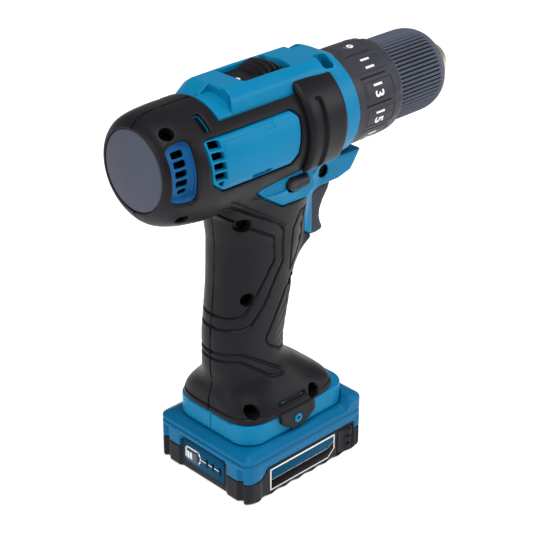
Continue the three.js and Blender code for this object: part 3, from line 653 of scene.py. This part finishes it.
def build_shell(step):
    """One half of the body: the hard blue shell, the overmould, the cover and the bumper."""
    body = Body(step)
    grid, side = body.grid, body.side
    outer = dressed_outer(body)
    plain = body.outer
    bay, bay_floor, grille = rear_vent(body)
    slot = body.arc_patch(-51.2, -47.8, 41, 62, 0.8)
    cover_bay = np.maximum(body.u - COVER_HALF, np.maximum(cover_rear(body.u) - 0.4 - grid.x, 190 - grid.z))
    seat = node_mm("rear_cap")
    cap_hole = np.maximum(body.radius - (seat[1][2] - seat[0][2]) / 2 - 0.15, grid.x + 72.6)
    ring_hole = np.maximum(body.radius - 21.4, -14 - grid.x)
    pull_slot = box_field(grid, (8, -7.9, 112.4), (60, 7.9, 139.2), 0.6)
    switch = capsule_field(body, -3.9, 10.9, 152.9, 3.4)
    wells = all_wells(body)

    soft_flat = np.maximum(body.soft, -body.panel)
    soft = smooth_max(side(soft_flat), -cover_bay, 0.6)
    soft = smooth_max(soft, -bay, 1.4)
    soft = smooth_max(soft, -slot, 0.8)

    skin = smooth_max(outer, soft + JOINT_GAP, 1.1)
    skin = np.maximum(skin, -(plain + SKIN + JOINT_GAP))
    skin = np.maximum(skin, 38.1 - grid.z)
    skin = np.maximum(skin, -np.minimum(cap_hole, pull_slot))

    hard = smooth_max(outer, JOINT_GAP - soft, 0.9) + side(panel_relief(body))
    core = plain + SKIN
    hard = np.minimum(hard, core)
    hard = np.maximum(hard, -np.maximum(side(panel_windows(body)), 21 - body.radius))
    hard = np.maximum(hard, -np.maximum(slot, 22.2 - body.radius))
    hard = smooth_min(hard, neck_field(grid, body.u), 0.8)
    inside = np.maximum(plain + SHELL, 41 - grid.z)
    hard = np.maximum(hard, -inside)
    hard = np.maximum(np.minimum(hard, np.maximum(bay_floor, core)), -bay)
    hard = np.maximum(hard, -np.maximum(grille, 16 - body.radius))
    notch = box_field(grid, (24.6, -15, AXIS_Z + 17.5), (31.4, -6.6, 230), 1.2)
    hard = np.maximum(hard, -np.maximum(notch, 22 - body.radius))
    hard = np.maximum(hard, -np.minimum(np.minimum(cap_hole, ring_hole), pull_slot))
    channel = np.minimum(
        box_field(grid, (-32.5, -18.8, 30.8), (80, 18.8, 35.4)),
        box_field(grid, (-32.5, -14.8, 0), (80, 14.8, 31.5)),
    )
    hard = np.maximum(hard, -channel)
    bay_of_selector = selector_bay(body)
    hard = np.maximum(hard, -np.minimum(bay_of_selector, switch))
    boss, eyelet = lanyard_boss(body)
    skin = np.minimum(skin, boss)
    skin = np.maximum(skin, -np.maximum(eyelet + 0.9, -32 + body.u))
    skin = np.maximum(skin, -switch)

    cover = cover_field(body)
    cover = np.maximum(cover, -(plain + SKIN + 0.1))
    cover = np.maximum(cover, -bay_of_selector)
    cover = np.maximum(cover, -notch)

    band = bumper_field(body, plain)

    seam = 0.04 - 0.1 * ramp(body.dz, 2, 10) - body.u
    # Painted shade: this marks faces deep inside the body (over 12 mm in the rear vent bay, over 0.7 mm in
    # screw wells and the switch slot, over 2.7 mm elsewhere), which are given black for the shade that falls
    # in them.
    deep = np.where(bay < 1, plain + 12, plain + SKIN + 0.9)
    deep = np.where(np.minimum(wells, switch) < 0.45, plain + 0.7, deep)

    def pair(name, field, look, node, has_wells):
        right = smooth_max(field, seam, 0.12)
        holed = np.maximum(right, -wells) if has_wells else right
        for tag, made, mirror in (("right", holed, False), ("left", right, True)):
            piece = field_object(f"{name}_{tag}", made, grid, mirror=mirror)
            finish_piece(piece, look, f"{node}_{tag}")
            # Painted shade: the deep faces are coloured black.
            shade_deep(piece, deep, grid, BLACK)
            if look is BLUE:
                # Painted shade: blue faces inside the rear vent bay take the darker blue.
                shade_deep(piece, bay - 0.4, grid, BLUE_PAINTED_SHADE)

    pair("shell", hard, BLUE, "housing", True)
    pair("grip_skin", skin, CHARCOAL, "overmould", True)
    pair("bumper", band, CHARCOAL, "side_bumper", False)
    return body, cover


def shade_deep(piece, field, grid, look):
    """Paints shade: gives the faces where the field is below zero, such as the walls of wells, another
    material that stands for the shade falling there.
    """
    centres = polygon_centres(piece.data)
    centres[:, 1] = -np.abs(centres[:, 1])
    paint_shade_on(piece.data, sampled(field, grid, centres) < 0, look)


def polygon_centres(mesh):
    """The middle of every face, in mm."""
    centres = np.empty(len(mesh.polygons) * 3)
    mesh.polygons.foreach_get("center", centres)
    return centres.reshape(-1, 3) / MM


def paint_shade_on(mesh, chosen, look):
    """Gives the chosen faces another material: in this script always a painted shade."""
    index = np.zeros(len(mesh.polygons), np.int32)
    mesh.polygons.foreach_get("material_index", index)
    index[chosen] = len(mesh.materials)
    mesh.materials.append(look)
    mesh.polygons.foreach_set("material_index", index)
    mesh.update()


def lanyard_boss(body):
    """The flat boss for a wrist strap beside the foot, and the distance from the middle of its eyelet."""
    outline = [(-15, 40), (-13.4, 33.6), (-6.4, 28.4), (1.4, 28.4), (9, 33.6), (8.4, 40)]
    flat = rounded_polygon(outline, 0.6, body.flat_x, body.flat_z)
    boss = slab_field(flat, body.u, 29, 0.9)
    boss = np.maximum(boss, 26 - body.u)
    x, z = EYELET
    eyelet = np.sqrt((body.grid.x - x) ** 2 + (body.grid.z - z) ** 2) - EYELET_R
    return boss, eyelet


def capsule_field(body, x0, x1, z, radius):
    """An oblong hole along Y."""
    x = np.maximum(np.abs(body.grid.x - (x0 + x1) / 2) - (x1 - x0) / 2 + radius, 0)
    return np.sqrt(x * x + (body.grid.z - z) ** 2) - radius


NECK = (34.2, 26.8, 11)  # half length, half width and corner radius
NECK_Z = (27.4, 38)


def neck_field(grid, u):
    """The blue neck between the foot and the battery."""
    half_x, half_y, corner = NECK
    plan = rounded_plan(np.abs(grid.x) - half_x, u - half_y, corner)
    return smooth_max(plan, np.maximum(NECK_Z[0] - grid.z, grid.z - NECK_Z[1]), 0.6)


def bumper_field(body, plain):
    """The soft band behind the front ring, with its long recess and thick rear edge."""
    region = body.arc_patch(3.4, 28.2, -39, 57.5, 2.2)
    region = np.maximum(region, 157.9 - body.grid.z)
    proud = 3.3 - 0.9 * ramp(body.grid.x, 9, 24)
    recess = body.arc_patch(10, 13.4, -33, 35, 1.2)
    proud = proud - 1.7 * ramp(-recess, -0.5, 0.6)
    band = smooth_max(plain - proud, region, 2.6)
    return np.maximum(band, -(plain - 0.15))


BODY, COVER_SHAPE = build_shell(0.5)


def build_cover():
    """The top cover is one piece across both sides, so its field is mirrored into a full one."""
    keep = BODY.grid.y[0, :, 0] <= 0
    left = COVER_SHAPE[:, keep, :]
    right = np.maximum(left, -cover_scoop(BODY.grid.x, BODY.u[:, keep], BODY.dz))
    full = np.concatenate([right, left[:, ::-1, :][:, 1:, :]], axis=1)
    height = BODY.grid.z[0, 0] > COVER_FOOT_Z
    low = BODY.grid.low.copy()
    low[2] = BODY.grid.z[0, 0][height][0]
    grid = Grid(low, (58, -low[1], 207), BODY.grid.step)
    finish_piece(field_object("top_shell", full[:, :, height], grid), BLUE, "top_cover")


build_cover()


# ---------- front end ----------
COLLAR_PADS = 11  # settings shown by a printed number, one of them the drill symbol
PAD_PITCH = 360 / COLLAR_PADS
PAD_THIRTEEN = 21  # where the 13 stands at rest, in degrees from the right-hand side upwards
SLEEVE_RIBS = 62


def ring_piece(name, profile, count, relief):
    """A closed ring about the drive line. profile is a loop of (x, radius, share of the relief)."""
    x, r, share = (np.array(column, float)[:, None] for column in zip(*profile))
    angle = np.linspace(0, 2 * np.pi, count, endpoint=False)[None, :]
    r = r + share * relief(x, np.degrees(angle))
    points = np.stack([x + 0 * r, -r * np.cos(angle), AXIS_Z + r * np.sin(angle)], -1).reshape(-1, 3)
    i = np.arange(len(profile))[:, None] * count
    j = np.arange(count)[None, :]
    i_next, j_next = np.roll(i, -1, 0), np.roll(j, -1, 1)
    quads = np.stack([i + j, i_next + j, i_next + j_next, i + j_next], -1).reshape(-1, 4)
    a, b, c = points[quads[:, 0]], points[quads[:, 1]], points[quads[:, 2]]
    inside_out = np.sum(np.cross(b - a, c - a) * a) < 0
    piece = mesh_object(name, points, [quads], flip=bool(inside_out))
    piece.data.shade_smooth()
    return piece


def resampled(corners, step):
    """Points along a line of (x, radius, share) corners, no further apart than step."""
    points = []
    for a, b in zip(corners, corners[1:]):
        a, b = np.array(a, float), np.array(b, float)
        parts = max(1, int(np.ceil(np.hypot(*(b - a)[:2]) / step)))
        points += [tuple(a + (b - a) * k / parts) for k in range(parts)]
    return points + [corners[-1]]


def pad_offset(degrees):
    """Angle from the middle of the nearest number pad, in degrees."""
    return (degrees - PAD_THIRTEEN + PAD_PITCH / 2) % PAD_PITCH - PAD_PITCH / 2


def collar_relief(x, degrees):
    """Grooves, lands and number recesses of the clutch collar, and its scalloped front."""
    round_it = np.radians(np.abs(pad_offset(degrees))) * COLLAR_R
    half_pitch = np.radians(PAD_PITCH / 2) * COLLAR_R
    along = ramp(x, 45, 46) * (1 - ramp(x, 61, 62.5))
    slot = groove(half_pitch - round_it, 0.5, 1.1) * along
    window = np.maximum(round_it - 4.3, np.maximum(46.4 - x, x - 64))
    recess = 0.15 * ramp(-window, -0.15, 0.25) + groove(np.abs(window), 0.35, 0.4)
    scallop = 0.5 * ramp(x, 64, 70) * ramp(round_it, 3.5, half_pitch)
    return -(slot + recess + scallop)


def build_collar():
    low, high = COLLAR_LOW[0], COLLAR_HIGH[0]
    outside = [(low, COLLAR_R - 0.8, 0), (low + 0.5, COLLAR_R - 0.25, 1), (low + 5, COLLAR_R - 0.2, 1),
               (46, COLLAR_R, 1), (61, COLLAR_R, 1), (65, COLLAR_R - 0.1, 1), (68.6, COLLAR_R - 0.4, 1),
               (high - 0.5, COLLAR_R - 0.8, 1), (high, COLLAR_R - 1.5, 0)]
    inside = [(high, 12.4, 0), (67.4, 12.4, 0), (67.4, 20.2, 0), (low, 20.2, 0)]
    profile = resampled(outside, 0.3) + inside
    finish_piece(ring_piece("clutch_ring", profile, 960, collar_relief), COLLAR_SKIN, "clutch_collar")
    for k in range(COLLAR_PADS - 1):
        centre = PAD_THIRTEEN + (6 - k) * PAD_PITCH
        digits = text_mesh(str(2 * k + 1), 7.6, 0.35)
        wrap_print(f"clutch_number_{2 * k + 1}", digits, 52.0, centre, COLLAR_R - 0.22)
    bit = np.array([(-2.6, -0.35), (1.2, -0.8), (2.6, 0), (1.2, 0.8), (-2.6, 0.35)])
    wrap_print("clutch_drill_mark", flat_print(bit, 0.3), 52.6, PAD_THIRTEEN + 7 * PAD_PITCH, COLLAR_R - 0.22)


def text_mesh(text, size, thick):
    """The points and faces of some digits, thick enough to stand a little proud, centred on (0, 0)."""
    curve = bpy.data.curves.new("digits", "FONT")
    curve.body = text
    curve.size = size
    curve.extrude = thick / 2
    curve.offset = 0.02 * size
    curve.align_x = "CENTER"
    curve.space_character = 1.15
    curve.resolution_u = 6
    holder = bpy.data.objects.new("digits", curve)
    bpy.context.scene.collection.objects.link(holder)
    graph = bpy.context.evaluated_depsgraph_get()
    mesh = holder.evaluated_get(graph).to_mesh()
    points = np.array([v.co for v in mesh.vertices])
    faces = [np.array([p.vertices]) for p in mesh.polygons]
    bpy.data.objects.remove(holder)
    bpy.data.curves.remove(curve)
    return points, faces


def flat_print(outline, thick):
    """A printed shape from its outline."""
    count = len(outline)
    points = np.concatenate([np.c_[outline, np.full(count, face)] for face in (-thick / 2, thick / 2)])
    ring = np.arange(count)
    sides = np.stack([ring, np.roll(ring, -1), np.roll(ring, -1) + count, ring + count], 1)
    return points, [ring[None, ::-1], ring[None] + count, sides]


def wrap_print(name, shape, x, degrees, radius):
    """Bends a printed shape round the collar: it reads downwards, with its top towards the chuck."""
    points, faces = shape
    angle = np.radians(degrees) - points[:, 0] / radius
    r = radius + points[:, 2]
    bent = np.stack([x + points[:, 1], -r * np.cos(angle), AXIS_Z + r * np.sin(angle)], 1)
    piece = mesh_object(name, bent, faces)
    finish_piece(piece, WHITE, body=NODE_BODY["clutch_collar"])


def sleeve_relief(x, degrees):
    """Fine ribs along the chuck sleeve."""
    wave = 0.5 + 0.5 * np.cos(np.radians(degrees) * SLEEVE_RIBS)
    fade = ramp(x, 72.2, 73.4) * (1 - ramp(x, 100, 103.5))
    return -1.05 * (1 - wave ** 0.8) * fade


def build_sleeve():
    low, high, r = SLEEVE_LOW[0], SLEEVE_HIGH[0], SLEEVE_R
    outside = [
        (low, r - 1, 0), (low + 0.3, r - 0.5, 0), (low + 0.9, r, 1), (98, r, 1), (101, r - 0.35, 1),
        (103.4, r - 1.1, 1), (105.4, r - 2.1, 1), (107, r - 3.4, 0), (high - 0.3, r - 5, 0), (high, r - 6, 0),
    ]
    inside = [
        (high, 13.1, 0), (106.4, 13.1, 0), (106.4, 16.8, 0), (96.4, 16.8, 0), (96.4, 19, 0), (low, 19, 0),
    ]
    profile = resampled(outside, 0.4) + inside
    sleeve = ring_piece("sleeve_grip", profile, SLEEVE_RIBS * 14, sleeve_relief)
    finish_piece(sleeve, SLEEVE_SKIN, "chuck_sleeve")
    centres = polygon_centres(sleeve.data)
    turn = np.degrees(np.arctan2(centres[:, 2] - AXIS_Z, -centres[:, 1]))
    outer = np.hypot(centres[:, 1], centres[:, 2] - AXIS_Z) > r - 4
    # Painted shade: the bottoms of the sleeve's rib grooves are given black for the shade in them.
    paint_shade_on(sleeve.data, outer & (sleeve_relief(centres[:, 0], turn) < -0.8), BLACK)


JAW_TIP_X = 133.4  # where the centre lines of the jaws meet the axis
JAW_TILT = math.radians(15)
JAW_R = 3.1


def jaw_axis(grid, turn):
    """Distance from the centre line of a jaw that is turned about the drive line, and Y and Z turned back."""
    y = grid.y * math.cos(turn) + (grid.z - AXIS_Z) * math.sin(turn)
    z = -grid.y * math.sin(turn) + (grid.z - AXIS_Z) * math.cos(turn)
    across = (grid.x - JAW_TIP_X) * math.sin(JAW_TILT) + z * math.cos(JAW_TILT)
    return np.sqrt(y * y + across * across), y, z


def build_chuck():
    grid = Grid((73, -17.4, AXIS_Z - 17.4), (120, 17.4, AXIS_Z + 17.4), 0.4)
    r = np.sqrt(grid.y ** 2 + (grid.z - AXIS_Z) ** 2) + 0 * grid.x
    outline = [
        (74, -5), (74, 12), (80, 12), (80, 16.2), (96.6, 16.2), (96.6, 12.2), (102.8, 12.2),
        (102.8, 16.2), (105, 16.2), (105, 12.7), (109.5, 12.7), (117.6, 9.2), (119, 8), (119, -5),
    ]
    shape = smooth_max(polygon_field(outline, grid.x, r), grid.x - 118.9, 0.4)
    shape = np.maximum(shape, np.where(grid.x < 87, 4.8, 5.4) - r)
    for k in range(3):
        bore = jaw_axis(grid, -k * 2 * math.pi / 3)[0]
        shape = np.maximum(shape, JAW_R + 0.4 - bore)
    finish_piece(field_object("chuck_nose", shape, grid), CHAMPAGNE, "chuck_body")

    grid = Grid((96, -5, AXIS_Z - 1), (123.4, 5, AXIS_Z + 15), 0.3)
    bar, y, z = jaw_axis(grid, 0)
    jaw = smooth_max(bar - JAW_R, np.maximum(0.3 - z, 0.22 - (z - np.abs(y) * 0.577) * 0.866), 0.2)
    slide = (grid.x - JAW_TIP_X) * math.cos(JAW_TILT) - z * math.sin(JAW_TILT)
    jaw = smooth_max(jaw, np.maximum(-37 - slide, grid.x - 122), 0.5)
    for k in range(3):
        piece = field_object(f"jaw_{k + 1}", jaw, grid)
        turn = Matrix.Translation((0, 0, AXIS_Z * MM)) @ Matrix.Rotation(k * 2 * math.pi / 3, 4, "X")
        piece.data.transform(turn @ Matrix.Translation((0, 0, -AXIS_Z * MM)))
        finish_piece(piece, CHAMPAGNE, f"chuck_jaw_{k + 1}")


def build_rear_cap():
    low, high = node_mm("rear_cap")
    outer_r = (high[2] - low[2]) / 2
    grid = Grid((low[0] - 0.6, -20, AXIS_Z - 20), (high[0] + 0.6, 20, AXIS_Z + 20), 0.3)
    r = np.sqrt(grid.y ** 2 + (grid.z - AXIS_Z) ** 2) + 0 * grid.x
    dome = low[0] + 0.1 + 1.1 * (r / outer_r) ** 2.4 - grid.x
    cap = smooth_max(smooth_max(dome, r - outer_r, 0.6), grid.x - high[0], 0.2)
    cap = np.maximum(cap, -np.maximum(r - 15, -73.9 - grid.x))
    finish_piece(field_object("end_disc", cap, grid), GREY, "rear_cap")


# ---------- controls ----------
TRIGGER_OUTLINE = [
    (11, 119), (22, 117.2), (25.4, 113.6), (30, 113.2), (33.6, 113.9), (34.6, 115.8), (33.2, 118.6),
    (32.4, 122), (32.8, 125.6), (34.8, 129.8), (38, 134.2), (39.6, 138.7), (25, 138.7), (11, 136),
]


def build_trigger():
    grid = Grid((9.6, -8.4, 112), (41, 8.4, 140.2), 0.4)
    flat = rounded_polygon(TRIGGER_OUTLINE, 0.7, grid.x[:, 0], grid.z[:, 0])
    shape = slab_field(flat, np.abs(grid.y), 7.4, 2.6)
    shape = np.maximum(shape, -box_field(grid, (9, -4.6, 123), (22, 4.6, 133)))
    finish_piece(field_object("trigger_grip", shape, grid), TRIGGER_SKIN, "trigger")


def build_direction_switch():
    low, high = node_mm("direction_switch")
    grid = Grid(low - 1, high + 1, 0.4)
    middle, height = (low[0] + high[0]) / 2, (low[2] + high[2]) / 2
    reach = np.maximum(np.abs(grid.x - middle) - (high[0] - low[0]) / 2 + 2.45, 0)
    oval = np.sqrt(reach ** 2 + (grid.z - height) ** 2) - 2.45
    bar = smooth_max(oval, np.abs(grid.y) - high[1], 1.2)
    arrow = [(-4.6, 0), (-1.4, 1.5), (-1.4, 0.5), (4.4, 0.5), (4.4, -0.5), (-1.4, -0.5), (-1.4, -1.5)]
    mark = polygon_field([(middle + a, height + b) for a, b in arrow], grid.x, grid.z)
    bar = np.maximum(bar, -np.maximum(mark, high[1] - 0.45 - np.abs(grid.y)))
    finish_piece(field_object("direction_button", bar, grid), COLLAR_SKIN, "direction_switch")


def build_speed_selector():
    low, high = node_mm("speed_selector")
    grid = Grid(low - 1, high + 4, 0.35)
    plate = box_field(grid, (low[0] + 0.5, -9, low[2]), (8.6, 9, AXIS_Z + PLATE), 0.4)
    x = grid.x - 0.6
    crown = AXIS_Z + 30 - 0.055 * x * x - 0.012 * grid.y ** 2
    hump = smooth_max(grid.z - crown, np.abs(grid.y) - 8.4, 1.0)
    hump = smooth_max(hump, np.abs(x) - 7.4, 0.8)
    bow = grid.x + 0.03 * grid.y ** 2
    hump = np.maximum(hump + groove((bow + 0.4) % 3 - 1.5, 0.8, 1.2), low[2] - grid.z)
    shape = np.minimum(plate, hump)
    finish_piece(field_object("selector_slide", shape, grid), CHARCOAL, "speed_selector")
    points, faces = text_mesh("2", 6.4, 0.3)
    placed = np.stack([points[:, 1] - 18.9, -1.7 - points[:, 0], AXIS_Z + PLATE + 0.05 + points[:, 2]], 1)
    digit = mesh_object("selector_number", placed, faces)
    finish_piece(digit, WHITE, body=NODE_BODY["speed_selector"])


def build_lens():
    grid = Grid((45.6, -5.6, 142.8), (56, 5.6, 150.8), 0.35)
    outline = [(46.4, 143.6), (51.8, 143.6), (55.2, 150), (46.4, 150)]
    flat = rounded_polygon(outline, 0.5, grid.x[:, 0], grid.z[:, 0])
    window = slab_field(flat, np.abs(grid.y), 4.9, 0.8)
    finish_piece(field_object("led_window", window, grid), LENS, "led_lens")


def build_eyelets():
    """A blue ring round each strap eyelet."""
    x, z = EYELET
    grid = Grid((x - 4, -30.6, z - 4), (x + 4, -26.5, z + 4), 0.25)
    r = np.sqrt((grid.x - x) ** 2 + (grid.z - z) ** 2)
    ring = smooth_max(np.abs(r - EYELET_R + 0.5) - 0.75, -grid.y - 29.5, 0.4)
    ring = np.maximum(ring, 27.5 + grid.y)
    for side, mirror in (("right", False), ("left", True)):
        eyelet = field_object(f"strap_eyelet_{side}", ring, grid, mirror=mirror)
        finish_piece(eyelet, BLUE, body="housing")


# ---------- battery ----------
PACK_X, PACK_Y = node_mm("battery_case_bottom")[1][:2]
SEAM_Z = 11.8  # the colour break at the corners
LABEL_Z = 16.2  # the colour break over the label panels
LOBE = PACK_Y - 5.4  # where the groove between a corner's two lobes lies, in Y
SIDE_PANEL = (-29, 33.4)  # the dark panel on each side, in X
REAR_PANEL = 15.4  # half width of the gauge panel on the rear face


def pack_plan(grid, u, inset=0.0, corner=4.5):
    """The pack's outline in plan."""
    return rounded_plan(np.abs(grid.x) - PACK_X + inset, u - PACK_Y + inset, corner)


def pack_walls(grid, u):
    """The outer walls, with corner lobes, vertical grooves and set-back panels."""
    x, z = grid.x, grid.z
    plan = pack_plan(grid, u)
    below = 1 - ramp(z, 18.6, 19.6)
    rear = ramp(-x, 24, 30)
    between = (1 - ramp(u, REAR_PANEL, REAR_PANEL + 2.2)) * rear
    plan = plan + 1.1 * between * below
    panel_rear, panel_front = SIDE_PANEL
    side_between = ramp(x, panel_rear - 2.6, panel_rear) * (1 - ramp(x, panel_front + 0.6, panel_front + 3))
    plan = plan + 0.55 * side_between * ramp(u, 20, 26) * below
    plan = plan + groove(u - LOBE, 2.2, 1.8) * rear * below
    plan = plan + groove(x - panel_front - 2.4, 0.8, 0.7) * ramp(u, 20, 26) * below
    return plan + groove(z - 22, 0.8, 1.0)


def pack_top(grid, u):
    """Height of the pack's shoulders: a sloping ledge, with a raised block in front of the foot."""
    edge = -pack_plan(grid, u)
    front = ramp(grid.x, 26, 32)
    ledge = 24.6 + 2.2 * ramp(edge, 0, 5)
    block = 29.6 + 1.2 * ramp(edge, 0, 3)
    return ledge * (1 - front) + block * front


def label_panel(grid, u):
    """Below zero where the dark case rises above the corner seam, on the sides and the rear."""
    x, z = grid.x, grid.z
    lean = (z - SEAM_Z) * 0.7
    side = np.maximum(np.maximum(SIDE_PANEL[0] + lean - x, x - SIDE_PANEL[1] - 0.4), 24 - u)
    rear = np.maximum(u - REAR_PANEL - 1.2, x + 24)
    return np.minimum(side, rear)


def build_pack():
    grid = Grid((-PACK_X - 1, -PACK_Y - 1, -1), (PACK_X + 1, 0, 36.5), 0.5)
    u = np.abs(grid.y)
    x, z = grid.x, grid.z
    walls = pack_walls(grid, u)
    seam = np.where(label_panel(grid, u) < 0, LABEL_Z, SEAM_Z)
    inner = pack_plan(grid, u, 2.2, 3)

    scallop = 0.35 * np.cos(x * 2 * np.pi / 9.2) * ramp(u, 24, 30)
    foot = smooth_max(walls + scallop * (1 - ramp(z, 0.6, 2.4)), -z, 1.6)
    dark = smooth_max(foot, z - seam + 0.12, 0.5)
    dark = np.maximum(dark, -np.maximum(inner, 2 - z))
    window = box_field(grid, (SIDE_PANEL[1] - 11.6, -40, 1.3), (SIDE_PANEL[1] - 0.4, -26, 15.1))
    dark = np.maximum(dark, -window)

    blue = smooth_max(walls, z - pack_top(grid, u), 1.2)
    blue = smooth_max(blue, seam + 0.12 - z, 0.5)
    blue = np.maximum(blue, -np.maximum(inner, z - 24.4))
    foot_space = neck_field(grid, u) - 0.45
    blue = np.maximum(blue, -np.maximum(foot_space, 26.9 - z))
    rails = np.minimum(
        box_field(grid, (-26, -18.2, 31.3), (36, 18.2, 34.8), 0.4),
        box_field(grid, (-26, -14.2, 24.5), (36, 14.2, 34.8), 0.4),
    )
    blue = np.minimum(blue, rails)
    blue = np.maximum(blue, -box_field(grid, (-28, -9.4, 31), (-16, -6.2, 35.2)))
    for name, field, look, node in (("pack_base", dark, BLACK_CASE, "battery_case_bottom"),
                                    ("pack_shell", blue, PACK_BLUE, "battery_case_top")):
        full = np.concatenate([field, field[:, ::-1, :][:, 1:, :]], axis=1)
        if node == "battery_case_bottom":
            whole = Grid(grid.low, (PACK_X + 1, PACK_Y + 1, 36.5), 0.5)
            whole.y = whole.y[:, :full.shape[1]]
            gauge = box_field(whole, (-45, 3.9, 6.5), (-36, 12.1, 13.1))
            full = np.maximum(full, -gauge)
        finish_piece(field_object(name, full, grid), look, node)


def plate(name, outline, face, thick, look, body, side):
    """A thin printed plate on the right, left or rear wall; outline is in the wall's own plane."""
    outline = np.array(outline, float)
    points, faces = flat_print(outline, thick)
    if side == "rear":
        placed = np.stack([-face - points[:, 2], points[:, 0], points[:, 1]], 1)
    else:
        turn = 1 if side == "right" else -1
        placed = np.stack([points[:, 0], -turn * (face + points[:, 2]), points[:, 1]], 1)
    piece = mesh_object(name, placed, faces)
    finish_piece(piece, look, body=body)
    return piece


LABEL = [(-24.3, 2.7), (15.2, 2.7), (19.7, 6.6), (19.7, 14.8), (-24.3, 14.8)]
LABEL_BORDER = 0.75


def build_labels():
    face = PACK_Y - 0.5
    inner = shrunk(LABEL, LABEL_BORDER)
    split = 8.9
    upper = [(inner[4][0], split), (inner[3][0] - 4.2, split), (inner[3][0], split + 2.4), inner[3], inner[4]]
    lower = [inner[0], inner[1], inner[2], (inner[2][0], split + 2), (inner[3][0] - 4, split - 0.35),
             (inner[0][0], split - 0.35)]
    for side in ("right", "left"):
        for part, outline, look, proud in (("border", LABEL, WHITE, 0.0), ("upper", upper, TEAL, 0.12),
                                           ("lower", lower, BLACK, 0.12)):
            plate(f"label_{part}_{side}", outline, face + proud, 0.2, look, "battery", side)
    rear_face = PACK_X - 1.05
    edge = [(-15, 4.2), (15.2, 4.2), (15.2, 18), (-15, 18)]
    panel = [(-14.6, 4.6), (14.8, 4.6), (14.8, 17.6), (-14.6, 17.6)]
    plate("gauge_edge", edge, rear_face - 0.1, 0.2, BLACK, "battery", "rear")
    plate("gauge_panel", panel, rear_face, 0.2, TEAL, "battery", "rear")
    icon = [(2.6, 9.2), (4, 7), (13, 7), (13, 13.6), (4, 13.6), (2.6, 11.4)]
    for i, (a, b) in enumerate(zip(icon, icon[1:] + icon[:1])):
        plate(f"gauge_icon_{i}", stroke(a, b, 0.45), rear_face + 0.12, 0.2, WHITE, "battery", "rear")
    for i, left in enumerate((9.4, 7.4)):
        bar = [(left, 8.4), (left + 1.5, 8.4), (left + 1.9, 12.3), (left + 0.4, 12.3)]
        plate(f"gauge_fill_{i}", bar, PACK_X + 0.06, 0.16, WHITE, "gauge_button", "rear")
    lead = stroke((2.4, 10.3), (-11.4, 10.3), 0.22)
    plate("gauge_lead", lead, rear_face + 0.12, 0.2, WHITE, "battery", "rear")
    for i, y in enumerate((-2.4, -6.7, -11.7)):
        window = [(y - 0.8, 8.3), (y + 0.6, 8.3), (y + 0.9, 12.5), (y - 0.5, 12.5)]
        plate(f"gauge_light_{i + 1}", window, rear_face + 0.2, 0.25, BLACK, "battery", "rear")


def stroke(a, b, half_width):
    """The outline of a straight stroke from a to b."""
    a, b = np.array(a, float), np.array(b, float)
    along = (b - a) / np.linalg.norm(b - a) * half_width
    across = np.array([-along[1], along[0]])
    return [a - along - across, b + along - across, b + along + across, a - along + across]


LATCH_DEPTH = 2.8  # inner face of a latch, below the pack's side


def build_latches():
    x1 = SIDE_PANEL[1] - 0.8
    x0 = x1 - 10.4
    grid = Grid((x0 - 1, -PACK_Y - 1.4, 0.6), (x1 + 1, -24, 16), 0.3)
    depth = -grid.y
    face = PACK_Y - 0.7
    swell = np.zeros(1, np.float32)
    for low, high in ((2.2, 5.4), (6.6, 9.8), (11, 14.2)):
        lip = ramp(grid.x, x0 + 2.5, x1 - 2.2) * (1 - ramp(grid.x, x1 - 2, x1 - 1.2))
        band = ramp(grid.z, low, low + 0.5) * (1 - ramp(grid.z, high - 0.5, high))
        swell = swell + 1.5 * lip * band
    front = depth - face - swell
    outline = np.maximum(np.abs(grid.x - (x0 + x1) / 2) - (x1 - x0) / 2, np.abs(grid.z - 8.2) - 6.4)
    shape = np.maximum(smooth_max(front, outline, 0.4), PACK_Y - LATCH_DEPTH - depth)
    finish_piece(field_object("latch_right", shape, grid), BLACK_CASE, "battery_latch_right")
    finish_piece(field_object("latch_left", shape, grid, mirror=True), BLACK_CASE, "battery_latch_left")


for build in (build_collar, build_sleeve, build_chuck, build_rear_cap, build_trigger, build_direction_switch,
              build_speed_selector, build_lens, build_eyelets, build_pack, build_labels, build_latches):
    build()


# ---------- stage ----------
def build_stage():
    """A pale floor, soft lights and the camera."""
    bpy.ops.mesh.primitive_plane_add(size=6, location=(0, 0, -0.0002))
    floor = bpy.context.object
    floor.name = "floor"
    white = material("floor", (0.86, 0.86, 0.86), 0.75, spread=0.01, grain_depth_mm=0.0)
    glow = white.node_tree.nodes["Principled BSDF"].inputs
    glow["Emission Color"].default_value = (1, 1, 1, 1)
    glow["Emission Strength"].default_value = 0.6
    floor.data.materials.append(white)
    world = bpy.data.worlds.new("studio")
    bpy.context.scene.world = world
    world.use_nodes = True
    world.node_tree.nodes["Background"].inputs["Color"].default_value = (1, 1, 1, 1)
    world.node_tree.nodes["Background"].inputs["Strength"].default_value = 0.32
    target = Vector((0, 0, 0.11))
    for place, size, power in (
        ((-0.15, -0.35, 1.1), 0.7, 9),
        ((0.75, -0.6, 0.55), 0.5, 4),
        ((-0.9, 0.1, 0.45), 0.5, 3),
    ):
        light = bpy.data.objects.new("soft_light", bpy.data.lights.new("soft_light", "AREA"))
        light.data.size = size
        light.data.energy = power
        light.location = place
        light.rotation_euler = (target - Vector(place)).to_track_quat("-Z", "Y").to_euler()
        bpy.context.scene.collection.objects.link(light)
    camera = bpy.data.objects.new("camera", bpy.data.cameras.new("camera"))
    camera.location = Vector((-0.4598, -0.4830, 0.4556))
    forward = Vector((0.6121, 0.6382, -0.4669))
    camera.rotation_euler = forward.to_track_quat("-Z", "Y").to_euler()
    camera.data.lens = 107.8
    camera.data.sensor_width = 36  # the lens and the sensor are in the camera's own millimetres
    camera.data.clip_start = 0.01
    bpy.context.scene.collection.objects.link(camera)
    bpy.context.scene.camera = camera
    bpy.context.scene.view_settings.view_transform = "Standard"


build_stage()

for node, piece in frame["nodes"].items():
    piece.data.materials.clear()
    piece.data.materials.append(SLOT_MATERIALS[NODE_SLOT[node]])
